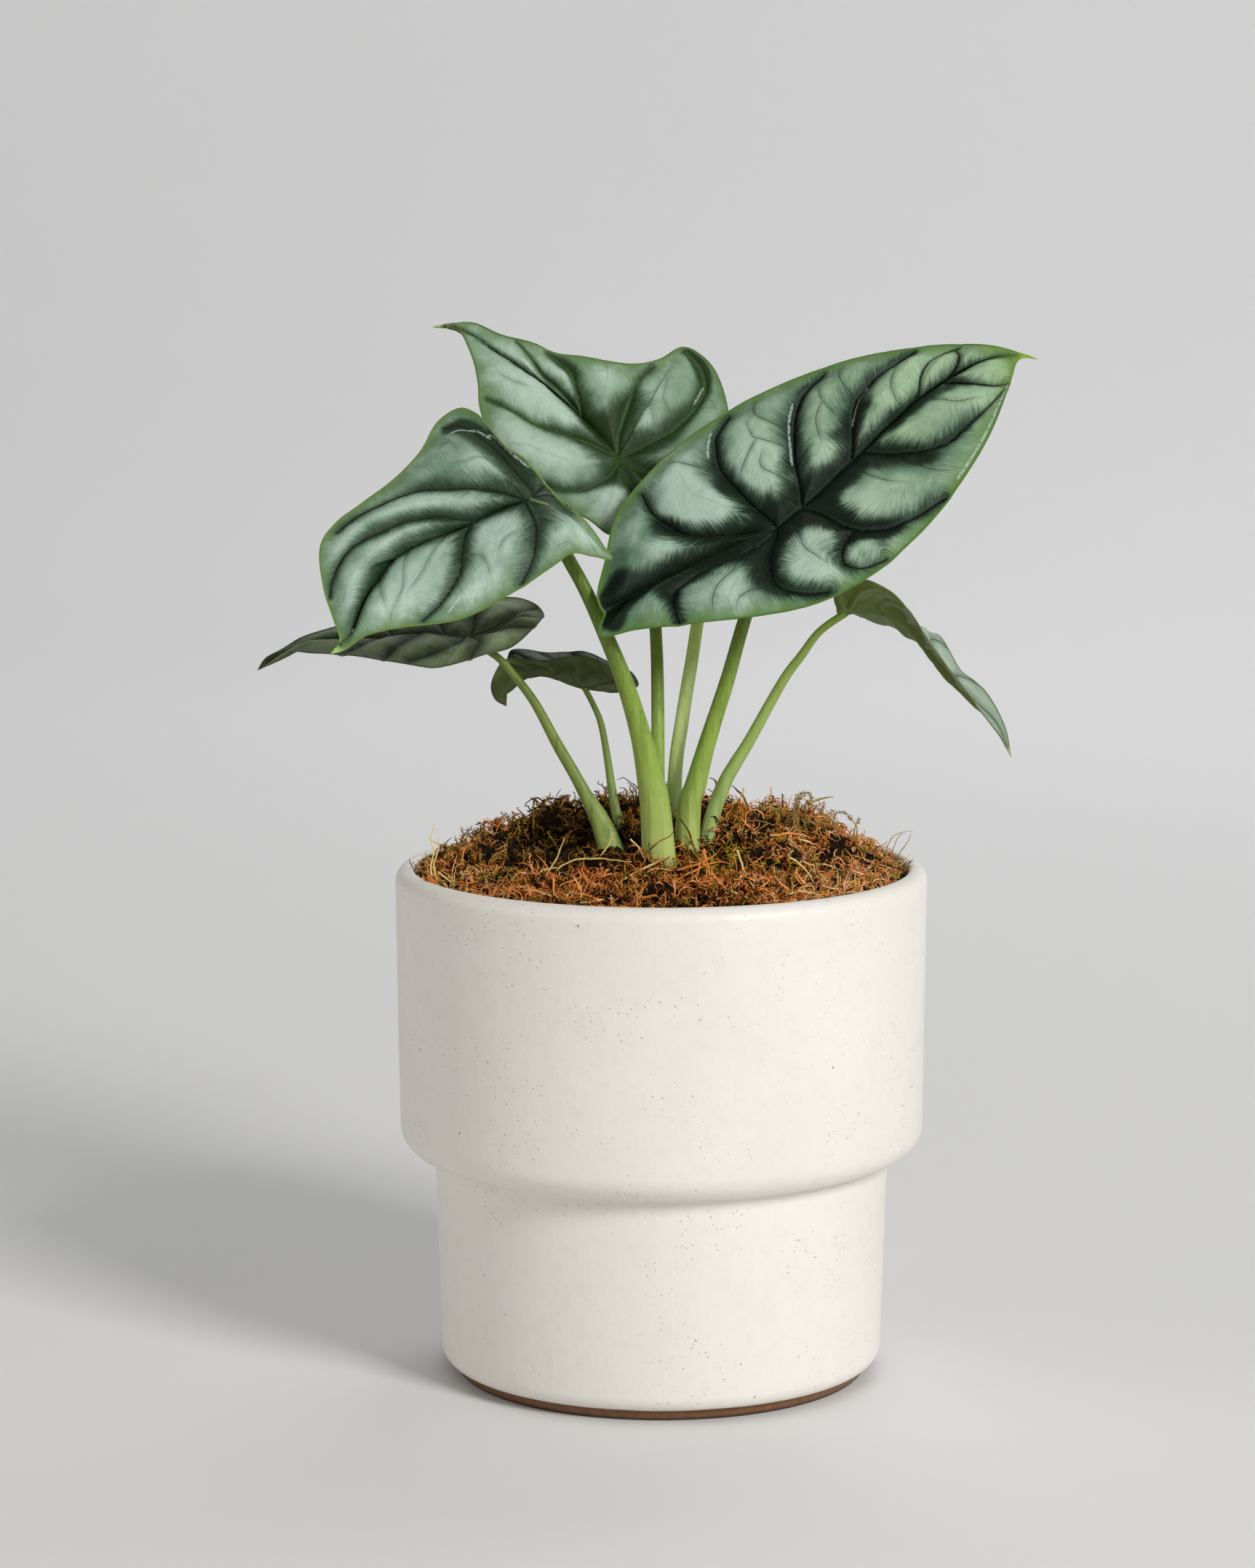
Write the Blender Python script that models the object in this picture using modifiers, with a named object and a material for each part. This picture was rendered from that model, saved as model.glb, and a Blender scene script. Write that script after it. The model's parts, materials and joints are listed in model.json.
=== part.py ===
"""Potted silver dragon alocasia: a stepped stoneware pot, soil, moss, a rhizome, stalks and blades.

Metres, +Z up. The origin is the centre of the pot's flat underside and +Y runs from the side shown
most to the back. Shapes are written in millimetres and scaled by MM as they become meshes.
"""
import math

import bmesh
import bpy
import numpy as np
from mathutils import Vector, noise

MM = 0.001
GAP = 0.3                     # clearance between neighbouring pieces
MERGE = 0.00001               # merge distance, metres

POT_HEIGHT = 135.5
DRUM_RADIUS = 70.0            # upper drum at its top
DRUM_FOOT_RADIUS = 69.2       # upper drum where it turns in to the step
STEP_HEIGHT = 59.8            # underside of the upper drum
BASE_RADIUS = 60.0            # lower drum just below the step
BASE_FOOT_RADIUS = 58.5       # lower drum where it rounds in to the foot
FOOT_RADIUS = 54.4            # bare clay disc that the pot stands on
FOOT_HEIGHT = 3.7
LIP_RADIUS = 65.2             # inside of the rim
WALL = 4.8
FLOOR = 8.0                   # top of the pot's floor
FLOOR_ROUND = 4.0             # inner corner between floor and wall
STEP_ROUND = 7.2              # outer corner under the upper drum
SHOULDER = STEP_HEIGHT + STEP_ROUND
LOW_SHOULDER = STEP_HEIGHT - 1.0
INNER_DRAFT = 0.6             # the inside widens by this much from the shoulder to the rim
TURN_STEPS = 48               # sides of every turned piece

SOIL_TOP = 127.7
MOSS_EDGE = 133.0             # moss height where it meets the pot
RHIZOME_CENTRE = (0.5, 0.5)
RHIZOME_RADIUS = 13.3
RHIZOME_DEPTH = 38.0
FOOT = SOIL_TOP + GAP         # where the stalks stand on the rhizome
HOLE_GAP = 1.5 * GAP          # room round a stalk in the moss
HOLE_RUN = 4.0                # how far a hole's cutter runs out below the stalk
MOSS_RINGS = 12

BLADE = 0.8                   # blade thickness
REACHES = (0.0, 0.08, 0.28, 0.54, 0.80, 1.0)   # rows of points from the midrib to the rim
VEIN_SWEEP = 0.3              # how far a side vein bows towards the leaf's base, in cells
RIM_WAVE = 0.5                # the rim dips at each cell and rises at each vein
FULL_CELL = 14.0              # a half blade this wide or wider has its full relief
STALK_POINTS = 15
WELD = 0.05                   # corners of a blade nearer than this become one, at its notch and tip

for old in list(bpy.data.objects):
    bpy.data.objects.remove(old, do_unlink=True)
plant = bpy.data.collections.new("potted_silver_dragon_alocasia")
tools = bpy.data.collections.new("cutters")
bpy.context.scene.collection.children.link(plant)
bpy.context.scene.collection.children.link(tools)


def finish(name, colour, roughness):
    """A plain Principled material."""
    material = bpy.data.materials.new(name)
    material.use_nodes = True
    shader = material.node_tree.nodes["Principled BSDF"]
    shader.inputs["Base Color"].default_value = (*colour, 1.0)
    shader.inputs["Roughness"].default_value = roughness
    shader.inputs["Metallic"].default_value = 0.0
    return material


GLAZE = finish("cream_glaze", (0.82, 0.78, 0.71), 0.45)
SOIL = finish("potting_soil", (0.06, 0.04, 0.03), 0.95)
MOSS = finish("sphagnum_moss", (0.27, 0.14, 0.06), 0.95)
CORM = finish("rhizome_skin", (0.24, 0.15, 0.09), 0.80)
STALK = finish("green_stalk", (0.24, 0.36, 0.09), 0.45)
BLADE_FINISH = finish("silver_green_blade", (0.22, 0.33, 0.25), 0.42)


def add(name, mesh, material, collection=plant):
    """Put a mesh in the model as a smooth-shaded object of its own."""
    mesh.materials.clear()
    mesh.materials.append(material)
    mesh.shade_smooth()
    thing = bpy.data.objects.new(name, mesh)
    collection.objects.link(thing)
    return thing


def evaluated(thing):
    """The mesh that an object has after its modifiers, with doubles merged."""
    depsgraph = bpy.context.evaluated_depsgraph_get()
    mesh = bpy.data.meshes.new_from_object(thing.evaluated_get(depsgraph))
    shape = bmesh.new()
    shape.from_mesh(mesh)
    bmesh.ops.remove_doubles(shape, verts=shape.verts, dist=MERGE)
    shape.to_mesh(mesh)
    shape.free()
    return mesh


def bake(thing):
    """Swap an object's modifiers, or a curve, for the plain mesh that they make."""
    name = thing.name
    mesh = evaluated(thing)
    material = thing.data.materials[0]
    collection = thing.users_collection[0]
    bpy.data.objects.remove(thing, do_unlink=True)
    return add(name, mesh, material, collection)


def arc(centre, radius, start, end, steps):
    """Points of a turned profile on part of a circle, angles in degrees."""
    angles = np.radians(np.linspace(start, end, steps + 1))
    return [(centre[0] + radius * math.cos(a), centre[1] + radius * math.sin(a)) for a in angles]


def turned(name, profile, material):
    """A solid of revolution: the profile runs up the inside, over the top and down the outside."""
    mesh = bpy.data.meshes.new(name)
    points = [(r * MM, 0.0, z * MM) for r, z in profile]
    mesh.from_pydata(points, [(i, i + 1) for i in range(len(points) - 1)], [])
    thing = add(name, mesh, material)
    screw = thing.modifiers.new("turn", "SCREW")
    screw.steps = TURN_STEPS
    screw.render_steps = TURN_STEPS
    screw.use_merge_vertices = True
    screw.merge_threshold = MERGE
    return thing


def cut(thing, cutters):
    """Take the cutters out of a solid, one Boolean for each."""
    for cutter in cutters:
        hole = thing.modifiers.new(cutter.name, "BOOLEAN")
        hole.operation = "DIFFERENCE"
        hole.object = cutter


# Pot

def pot():
    """One thrown and fired body: a wide drum that steps in to a narrower one, on a bare foot."""
    rim_round = 3.6
    lip_round = 1.2
    fillet = 2.0
    foot_round = 4.5
    crest = DRUM_RADIUS - rim_round
    profile = [(0.0, FLOOR), (BASE_FOOT_RADIUS - WALL - FLOOR_ROUND, FLOOR)]
    profile += [(BASE_FOOT_RADIUS - WALL, FLOOR + FLOOR_ROUND), (BASE_RADIUS - WALL, LOW_SHOULDER)]
    profile += [(LIP_RADIUS - INNER_DRAFT, SHOULDER), (LIP_RADIUS, POT_HEIGHT - lip_round)]
    profile += arc((LIP_RADIUS + lip_round, POT_HEIGHT - lip_round), lip_round, 180, 90, 3)[1:]
    profile += arc((crest, POT_HEIGHT - rim_round), rim_round, 90, 0, 4)[1:]
    profile += arc((DRUM_FOOT_RADIUS - STEP_ROUND, SHOULDER), STEP_ROUND, 0, -90, 5)
    profile += arc((BASE_RADIUS + fillet, STEP_HEIGHT - fillet), fillet, 90, 180, 2)[1:]
    profile += arc((BASE_FOOT_RADIUS - foot_round, FOOT_HEIGHT + foot_round), foot_round, 0, -70, 3)
    profile += [(FOOT_RADIUS, FOOT_HEIGHT), (FOOT_RADIUS - 0.2, 0.6), (FOOT_RADIUS - 0.8, 0.0), (0.0, 0.0)]
    turned("pot", profile, GLAZE)


# Soil and rhizome

def soil():
    """The root ball fills the pot to below its rim, with a plain pit where the rhizome stands."""
    play = 1.5 * GAP
    profile = [(0.0, SOIL_TOP), (LIP_RADIUS - 2 * GAP, SOIL_TOP)]
    profile += [(LIP_RADIUS - INNER_DRAFT - play, SHOULDER), (BASE_RADIUS - WALL - play, LOW_SHOULDER)]
    profile += [(BASE_FOOT_RADIUS - WALL - play, FLOOR + FLOOR_ROUND + GAP)]
    profile += [(BASE_FOOT_RADIUS - WALL - FLOOR_ROUND - GAP, FLOOR + GAP), (0.0, FLOOR + GAP)]
    body = turned("soil", profile, SOIL)
    depth = RHIZOME_DEPTH + GAP
    bpy.ops.mesh.primitive_cylinder_add(
        vertices=32,
        radius=(RHIZOME_RADIUS + GAP) * MM,
        depth=2 * depth * MM,
        location=(RHIZOME_CENTRE[0] * MM, RHIZOME_CENTRE[1] * MM, SOIL_TOP * MM),
    )
    pit = bpy.context.object
    pit.name = "rhizome_pit"
    move_to_tools(pit)
    cut(body, [pit])


def move_to_tools(thing):
    """Hide a cutter and keep it apart from the model."""
    for collection in thing.users_collection:
        collection.objects.unlink(thing)
    tools.objects.link(thing)
    thing.hide_render = True
    thing.display_type = "WIRE"


def rhizome():
    """A short upright corm whose rings are the scars of old leaves."""
    rings = 6
    profile = [(0.0, SOIL_TOP), (RHIZOME_RADIUS - 1.0, SOIL_TOP)]
    for ring in range(rings):
        high = SOIL_TOP - 1.0 - ring * (RHIZOME_DEPTH - 6.0) / rings
        low = high - (RHIZOME_DEPTH - 6.0) / rings
        taper = 0.35 * ring ** 1.5
        profile += [(RHIZOME_RADIUS - GAP - taper, high), (RHIZOME_RADIUS - 1.4 - taper, low + 0.8)]
    profile += [(6.0, SOIL_TOP - RHIZOME_DEPTH + 1.0), (0.0, SOIL_TOP - RHIZOME_DEPTH)]
    corm = turned("rhizome", profile, CORM)
    corm.modifiers["turn"].steps = TURN_STEPS // 2
    corm.modifiers["turn"].render_steps = TURN_STEPS // 2
    corm.location = (RHIZOME_CENTRE[0] * MM, RHIZOME_CENTRE[1] * MM, 0.0)


# Blades

def smooth(points, at):
    """Point on the smooth curve through the points; `at` counts control points from 0."""
    points = np.asarray(points, float)
    last = len(points) - 1
    first = min(int(at), last - 1)
    f = at - first
    a, b, c, d = points[np.clip([first - 1, first, first + 1, first + 2], 0, last)]
    return 0.5 * (2 * b + (c - a) * f + (2 * a - 5 * b + 4 * c - d) * f ** 2
                  + (3 * b - 3 * c + d - a) * f ** 3)


def half_blade(rib, rim, veins, side, rows, relief, arch):
    """Rows of (point, lift) from the midrib to one rim: the side veins are sunk between puffed cells.

    A vein is (place on the midrib, place on the left rim, place on the right rim), each counted in
    control points; None says that the vein is missing on that side.
    """
    known = [i for i, vein in enumerate(veins) if vein[side] is not None]
    rim_places = [veins[i][side] for i in known]
    rib_places = [vein[0] for vein in veins]
    cells = len(veins) - 1
    half = []
    for q in np.linspace(0, cells, cells * rows + 1):
        line = []
        room = min(1.0, q, cells - q)
        phase = np.interp(q, known, range(len(known))) % 1.0
        for reach in REACHES:
            bowed = q - VEIN_SWEEP * room * 4 * reach * (1 - reach)
            start = smooth(rib, np.interp(bowed, range(len(veins)), rib_places))
            end = smooth(rim, np.interp(bowed, known, rim_places))
            grown = min(1.0, float(np.linalg.norm(end - start)) / FULL_CELL)
            puff = (1 - abs(2 * phase - 1) ** 3) * max(0.0, math.sin(math.pi * reach ** 0.8)) ** 0.7
            wave = RIM_WAVE * reach ** 4 * math.cos(2 * math.pi * phase)
            lift = grown * (relief * puff + arch * 4 * reach * (1 - reach) + wave)
            line.append((start + (end - start) * reach, lift))
        half.append(line)
    return half


def blade(name, rib, left, right, veins, heart, relief, arch, rows=4):
    """A leaf blade as a thin solid; returns its heart, where the stalk meets it, and its upward normal.

    rib runs from the notch of the base to the drip tip; left and right are the rims as seen from
    above with the tip ahead. heart is the stalk's place on the midrib, in control points, and rows
    counts the rows of faces from one side vein to the next.
    """
    left_half = half_blade(rib, left, veins, 1, rows, relief, arch)
    right_half = half_blade(rib, right, veins, 2, rows, relief, arch)
    shape = bmesh.new()
    lifts = shape.verts.layers.float.new("lift")
    grid = []
    for left_row, right_row in zip(left_half, right_half):
        line = []
        for point, lift in left_row[:0:-1] + right_row:
            vert = shape.verts.new(Vector(point) * MM)
            vert[lifts] = lift * MM
            line.append(vert)
        grid.append(line)
    for near, far in zip(grid, grid[1:]):
        for i in range(len(near) - 1):
            shape.faces.new((near[i], near[i + 1], far[i + 1], far[i]))
    bmesh.ops.triangulate(shape, faces=shape.faces)
    bmesh.ops.remove_doubles(shape, verts=shape.verts, dist=WELD * MM)
    shape.normal_update()
    for vert in shape.verts:
        vert.co += vert.normal * vert[lifts]
    shape.normal_update()
    place = Vector(smooth(rib, heart)) * MM
    root = min(shape.verts, key=lambda vert: (vert.co - place).length)
    meeting = (root.co / MM, root.normal.copy())
    mesh = bpy.data.meshes.new(name)
    shape.to_mesh(mesh)
    shape.free()
    leaf = add(name, mesh, BLADE_FINISH)
    wall = leaf.modifiers.new("thickness", "SOLIDIFY")
    wall.thickness = BLADE * MM
    wall.offset = -1.0
    return meeting


# Stalks

def tube(name, route, points, material, collection=plant):
    """A tapered round tube along a route of (x, y, z, radius), with capped ends, as a plain mesh."""
    curve = bpy.data.curves.new(name, "CURVE")
    curve.dimensions = "3D"
    curve.bevel_depth = MM
    curve.bevel_resolution = 2
    curve.use_fill_caps = True
    curve.materials.append(material)
    spline = curve.splines.new("POLY")
    spline.points.add(points - 1)
    for i, point in enumerate(spline.points):
        x, y, z, radius = smooth(route, i / (points - 1) * (len(route) - 1))
        point.co = (x * MM, y * MM, z * MM, 1.0)
        point.radius = radius
    thing = bpy.data.objects.new(name, curve)
    collection.objects.link(thing)
    return bake(thing)


def stalk(name, route, meeting):
    """A leaf stalk from the rhizome to the underside of its blade; returns the cutter for its hole."""
    heart, normal = meeting
    aim = (heart - Vector(route[-1][:3])).normalized()
    tip_radius = route[-1][3]
    end = heart - normal * (BLADE + GAP + tip_radius * aim.cross(normal).length)
    route = route + [(*end, tip_radius)]
    foot = Vector(route[0][:3])
    rise = (Vector(route[1][:3]) - foot).normalized()
    foot_radius = route[0][3]
    foot.z += foot_radius * math.sqrt(1 - rise.z ** 2)
    route[0] = (*foot, foot_radius)
    tube(name, route, STALK_POINTS, STALK)
    below = (*(foot - rise * HOLE_RUN), foot_radius)
    wider = [(x, y, z, radius + HOLE_GAP) for x, y, z, radius in [below] + route]
    hole = tube(name + "_hole", wider, 2 * STALK_POINTS, STALK, tools)
    move_to_tools(hole)
    return hole


# Moss

def bump(x, y, centre, size, height):
    """A soft mound, or a hollow where the height is negative."""
    return height * math.exp(-((x - centre[0]) / size[0]) ** 2 - ((y - centre[1]) / size[1]) ** 2)


def moss_height(x, y):
    """Top of the moss in millimetres: low at the front, heaped behind the stalks, lumpy all over."""
    out = math.hypot(x, y) / (LIP_RADIUS - GAP)
    heap = 3.5 * (1 - out ** 2)
    heap += bump(x, y, (0, 22), (60, 22), 13.5)
    heap += bump(x, y, (48, 12), (14, 14), 5.0)
    heap += bump(x, y, (-48, 8), (12, 12), 3.5)
    heap += bump(x, y, (15, 8), (10, 10), 2.5)
    heap += bump(x, y, (-34, 4), (12, 10), -5.0)
    heap += 2.1 * noise.noise(Vector((x, y, 0.0)) / 9.0)
    heap += 1.4 * noise.noise(Vector((x, y, 40.0)) / 4.0)
    return MOSS_EDGE + max(0.0, 1 - out ** 6) * heap


def moss(holes):
    """A loose mat of moss on the soil, lying against the inside of the rim and round every stalk."""
    edge = LIP_RADIUS - 2 * GAP
    bottom = SOIL_TOP + GAP
    profile = [(edge * i / MOSS_RINGS, MOSS_EDGE) for i in range(MOSS_RINGS + 1)]
    profile += [(edge, bottom), (0.0, bottom)]
    mat = bake(turned("moss", profile, MOSS))
    for vert in mat.data.vertices:
        if vert.co.z > (bottom + 1.0) * MM:
            vert.co.z = moss_height(vert.co.x / MM, vert.co.y / MM) * MM
    cut(mat, holes)


# The leaves. Places are in millimetres; a stalk's route gives a radius as its fourth number.

def front_right_leaf():
    """The largest leaf: its face is turned to the front and its tip points up to the right."""
    notch, tip = (-15, -17, 204), (98, 9, 268)
    meeting = blade(
        "leaf_front_right",
        rib=[notch, (-1, -11, 210), (14, -8, 217), (30, -7, 225), (49, 1, 241), (67, 10, 257),
             (84, 13, 267), (94, 12, 269), tip],
        left=[notch, (-17, -16, 208), (-15, -8, 216), (-12, 2, 227), (-5, 9, 236), (5, 15, 245),
              (17, 20, 253), (29, 22, 259), (44, 23, 265), (60, 22, 269), (75, 19, 271),
              (87, 14, 271), (94, 12, 270), tip],
        right=[notch, (-16, -22, 198), (-6, -23, 200), (9, -25, 202), (26, -26, 204), (39, -26, 207),
               (52, -23, 213), (65, -18, 223), (76, -10, 235), (85, -1, 248), (89, 7, 261),
               (93, 11, 268), tip],
        veins=[(0, 0, 0), (3, 4.0, 2.7), (3, 6.0, 5.3), (3.33, 7.9, 7.8), (4.0, 9.2, 9.2),
               (5.0, 10.3, None), (5.65, 11.0, 10.2), (8, 13, 12)],
        heart=3, relief=2.4, arch=1.5)
    return stalk(
        "stalk_front_right",
        [(6, -1, FOOT, 3.0), (7, -1, 149, 3.1), (9, -1, 157, 2.9), (12, -1, 168, 2.3),
         (17, -1, 184, 2.0), (21.5, -1, 200, 1.8), (26, 0, 213, 1.8)],
        meeting)


def back_leaf():
    """The highest leaf: behind the others, with its tip up to the left and one base lobe raised."""
    notch, tip = (-1, 19, 234), (-61, 37, 275)
    meeting = blade(
        "leaf_back",
        rib=[notch, (-6, 21, 237), (-11, 24, 241), (-21, 30, 251), (-31, 35, 259), (-43, 37, 267),
             (-51, 39, 273), (-56, 39, 275), tip],
        left=[notch, (-3, 11, 226), (-8, 6, 222), (-14, 6, 222), (-20, 9, 226), (-29, 12, 229),
              (-37, 15, 234), (-44, 19, 243), (-48, 25, 253), (-49, 30, 261), (-51, 35, 268),
              (-55, 39, 275), tip],
        right=[notch, (5, 20, 233), (13, 27, 239), (18, 34, 247), (17, 41, 257), (13, 47, 265),
               (6, 50, 269), (-1, 43, 266), (-9, 39, 265), (-21, 38, 267), (-28, 38, 268),
               (-35, 38, 271), (-43, 39, 273), (-50, 40, 276), (-56, 39, 276), tip],
        veins=[(0, 0, 0), (2, 2.5, 2.4), (2, 6.0, 4.6), (2.1, 8.1, 7.2), (3, 9.6, 10.3),
               (4, 10.4, 11.5), (8, 12, 15)],
        heart=2, relief=2.0, arch=1.0)
    return stalk(
        "stalk_back",
        [(-1, 2, FOOT, 2.6), (-1, 5, 157, 1.9), (-1, 10, 177, 1.8), (-1.5, 15, 195, 1.7),
         (-3, 21, 212, 1.7), (-7, 27, 227, 1.7)],
        meeting)


def left_leaf():
    """The front leaf on the left: it hangs forward and its tip curls down."""
    notch, tip = (-30, -11, 237), (-84, -39, 196)
    meeting = blade(
        "leaf_left",
        rib=[notch, (-32, -13, 235), (-35, -15, 233), (-43, -15, 230), (-51, -16, 226),
             (-60, -17, 223), (-68, -19, 219), (-73, -24, 213), (-76, -28, 208), (-79, -34, 201), tip],
        left=[notch, (-25, -14, 232), (-20, -16, 228), (-16, -18, 223), (-13, -20, 218),
              (-18, -24, 219), (-23, -26, 220), (-28, -29, 217), (-39, -31, 210), (-51, -33, 204),
              (-65, -33, 202), (-75, -35, 200), (-80, -37, 197), tip],
        right=[notch, (-35, -9, 243), (-40, -6, 246), (-44, -1, 250), (-48, 4, 254), (-53, 8, 255),
               (-59, 7, 251), (-63, -1, 244), (-70, -5, 237), (-77, -9, 232), (-84, -12, 227),
               (-88, -17, 221), (-87, -24, 212), (-84, -31, 204), (-82, -36, 199), tip],
        veins=[(0, 0, 0), (2, 4.2, 5.2), (2.1, 7.7, 8.8), (3.2, None, 10.2), (4.1, 9.8, 11.6),
               (6, 10.5, 12.5), (7.3, 11.0, 13.0), (10, 13, 15)],
        heart=2, relief=2.0, arch=1.5)
    return stalk(
        "stalk_left",
        [(-1, -8, FOOT, 3.7), (-2, -8, 150, 3.6), (-3, -8, 159, 3.5), (-5.5, -9, 171.5, 2.8),
         (-10.5, -10.5, 187.5, 2.3), (-18.5, -10.5, 206.5, 1.9), (-24, -10, 217, 1.8),
         (-30, -9, 227, 1.8)],
        meeting)


def low_left_leaf():
    """A low, dull leaf that reaches out to the left and leans towards the front."""
    notch, tip = (-31, 5, 201), (-106, 2, 187)
    meeting = blade(
        "leaf_low_left",
        rib=[notch, (-40, 5, 198), (-50, 6, 195), (-61, 6, 196), (-70, 6, 195), (-78, 6, 194),
             (-88, 5, 194), (-95, 4, 193), (-101, 3, 190), tip],
        left=[notch, (-31, 1, 201), (-33, -3, 199), (-39, -8, 194), (-47, -10, 192), (-58, -11, 189),
              (-67, -10, 190), (-74, -9, 191), (-83, -7, 192), (-92, -4, 192), (-98, -1, 192),
              (-103, 1, 189), tip],
        right=[notch, (-31, 9, 201), (-33, 13, 203), (-38, 19, 204), (-46, 22, 204), (-54, 23, 204),
               (-62, 22, 202), (-69, 20, 200), (-78, 18, 199), (-86, 14, 197), (-94, 9, 195),
               (-100, 5, 192), (-104, 3, 190), tip],
        veins=[(0, 0, 0), (2, 3.2, 3.0), (2.1, 4.6, 4.8), (3, 6.3, 6.6), (4, 7.4, 8.0), (5, 8.6, 9.4),
               (9, 12, 13)],
        heart=2, relief=1.4, arch=1.0, rows=3)
    return stalk(
        "stalk_low_left",
        [(-9, 0, FOOT, 2.9), (-13, -1, 136, 3.0), (-16, -0.5, 146, 2.4), (-21.5, 1, 157, 1.7),
         (-27.5, 2, 167.5, 1.5), (-33.5, 2.5, 178.5, 1.25), (-40, 2.5, 187, 1.1),
         (-43.5, 3.5, 190.5, 1.0)],
        meeting)


def low_middle_leaf():
    """The smallest leaf: folded along its midrib, with a withered tip that curls down."""
    notch, tip = (-8, 14, 181), (-41, 12, 176)
    meeting = blade(
        "leaf_low_middle",
        rib=[notch, (-14, 14, 181), (-20, 14, 182), (-27, 14, 184), (-32, 14, 185), (-37, 14, 184),
             (-40, 14, 181), (-43, 14, 178), tip],
        left=[notch, (-7, 11, 183), (-10, 8, 185), (-15, 6, 188), (-20, 6, 190), (-25, 6, 190),
              (-30, 7, 189), (-36, 8, 189), (-41, 9, 189), (-43, 10, 187), (-45, 10, 182),
              (-44, 11, 178), tip],
        right=[notch, (-6, 18, 181), (-8, 22, 184), (-13, 24, 186), (-20, 25, 189), (-25, 25, 189),
               (-30, 24, 189), (-36, 22, 190), (-40, 20, 190), (-41, 19, 187), (-41, 18, 181),
               (-41, 15, 178), tip],
        veins=[(0, 0, 0), (2, 2.5, 2.5), (2.3, 4.6, 4.6), (3.3, 6.2, 6.2), (4.5, 7.8, 7.8), (8, 12, 12)],
        heart=2, relief=0.9, arch=0.4, rows=3)
    return stalk(
        "stalk_low_middle",
        [(-6, 6, FOOT, 2.1), (-11, 9.5, 144, 1.6), (-12.5, 11, 150, 1.3), (-14.5, 14, 163, 1.0),
         (-16, 14.5, 171, 0.9), (-18, 15, 176, 0.8)],
        meeting)


def right_leaf():
    """A drooping leaf on the right that twists from its underside to its face."""
    notch, tip = (46, 5, 203), (92, 2, 164)
    meeting = blade(
        "leaf_right",
        rib=[notch, (48, 5, 203), (56, 7, 203), (64, 7, 200), (69, 7, 194), (75, 6, 186), (80, 5, 181),
             (83, 4, 178), (88, 3, 173), tip],
        left=[notch, (49, 9, 202), (53, 15, 201), (58, 19, 198), (64, 21, 195), (69, 20, 192),
              (72, 17, 195), (75, 15, 193), (79, 12, 186), (83, 10, 183), (86, 8, 180), (89, 6, 175),
              (91, 4, 170), tip],
        right=[notch, (45, 2, 206), (46, -3, 211), (52, -8, 212), (59, -9, 209), (64, -8, 204),
               (68, -6, 198), (72, -4, 192), (78, -2, 184), (82, -1, 179), (84, 0, 176), (87, 0, 172),
               (90, 1, 168), tip],
        veins=[(0, 0, 0), (1, 2.2, 2.2), (1.2, 3.2, 3.4), (2.2, 4.3, 4.6), (3.2, 5.6, 5.8),
               (4.2, 7.0, 7.3), (5.4, 8.7, 8.8), (9, 13, 13)],
        heart=1, relief=1.0, arch=0.6, rows=3)
    return stalk(
        "stalk_right",
        [(9, 5, FOOT, 2.3), (13, 5, 145, 1.9), (16.5, 6, 156, 1.9), (19.5, 7, 161.5, 1.8),
         (23, 8, 167, 1.6), (32, 10, 183, 1.35), (36.5, 9, 190, 1.2), (41, 7, 199, 1.05)],
        meeting)


def hidden_leaf():
    """The leaf of the stalk that rises behind the largest one: it faces up and to the back."""
    notch, tip = (12, 20, 226), (50, 71, 208)
    meeting = blade(
        "leaf_hidden",
        rib=[notch, (17, 26, 228), (25, 36, 229), (34, 48, 226), (42, 60, 219), tip],
        left=[notch, (5, 22, 224), (3, 32, 221), (7, 46, 217), (17, 58, 212), (33, 68, 207), tip],
        right=[notch, (16, 14, 231), (26, 18, 236), (37, 30, 237), (45, 44, 232), (50, 58, 221), tip],
        veins=[(0, 0, 0), (1, 1.4, 1.4), (1.1, 2.6, 2.6), (2, 3.6, 3.6), (3, 4.5, 4.5), (5, 6, 6)],
        heart=1, relief=1.6, arch=1.0)
    return stalk(
        "stalk_hidden",
        [(3, 8, FOOT, 2.4), (3.5, 8, 157, 2.0), (5.5, 10, 173, 1.9), (8, 12, 188.5, 1.8),
         (10, 14, 201, 1.7), (13, 19, 214, 1.6)],
        meeting)


pot()
soil()
rhizome()
moss([
    front_right_leaf(),
    back_leaf(),
    left_leaf(),
    low_left_leaf(),
    low_middle_leaf(),
    right_leaf(),
    hidden_leaf(),
])
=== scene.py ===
"""Looks of a potted alocasia with silver-green leaves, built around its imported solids."""

import json
import math

import bmesh
import bpy
import numpy as np
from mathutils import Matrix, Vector, kdtree, noise

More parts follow.
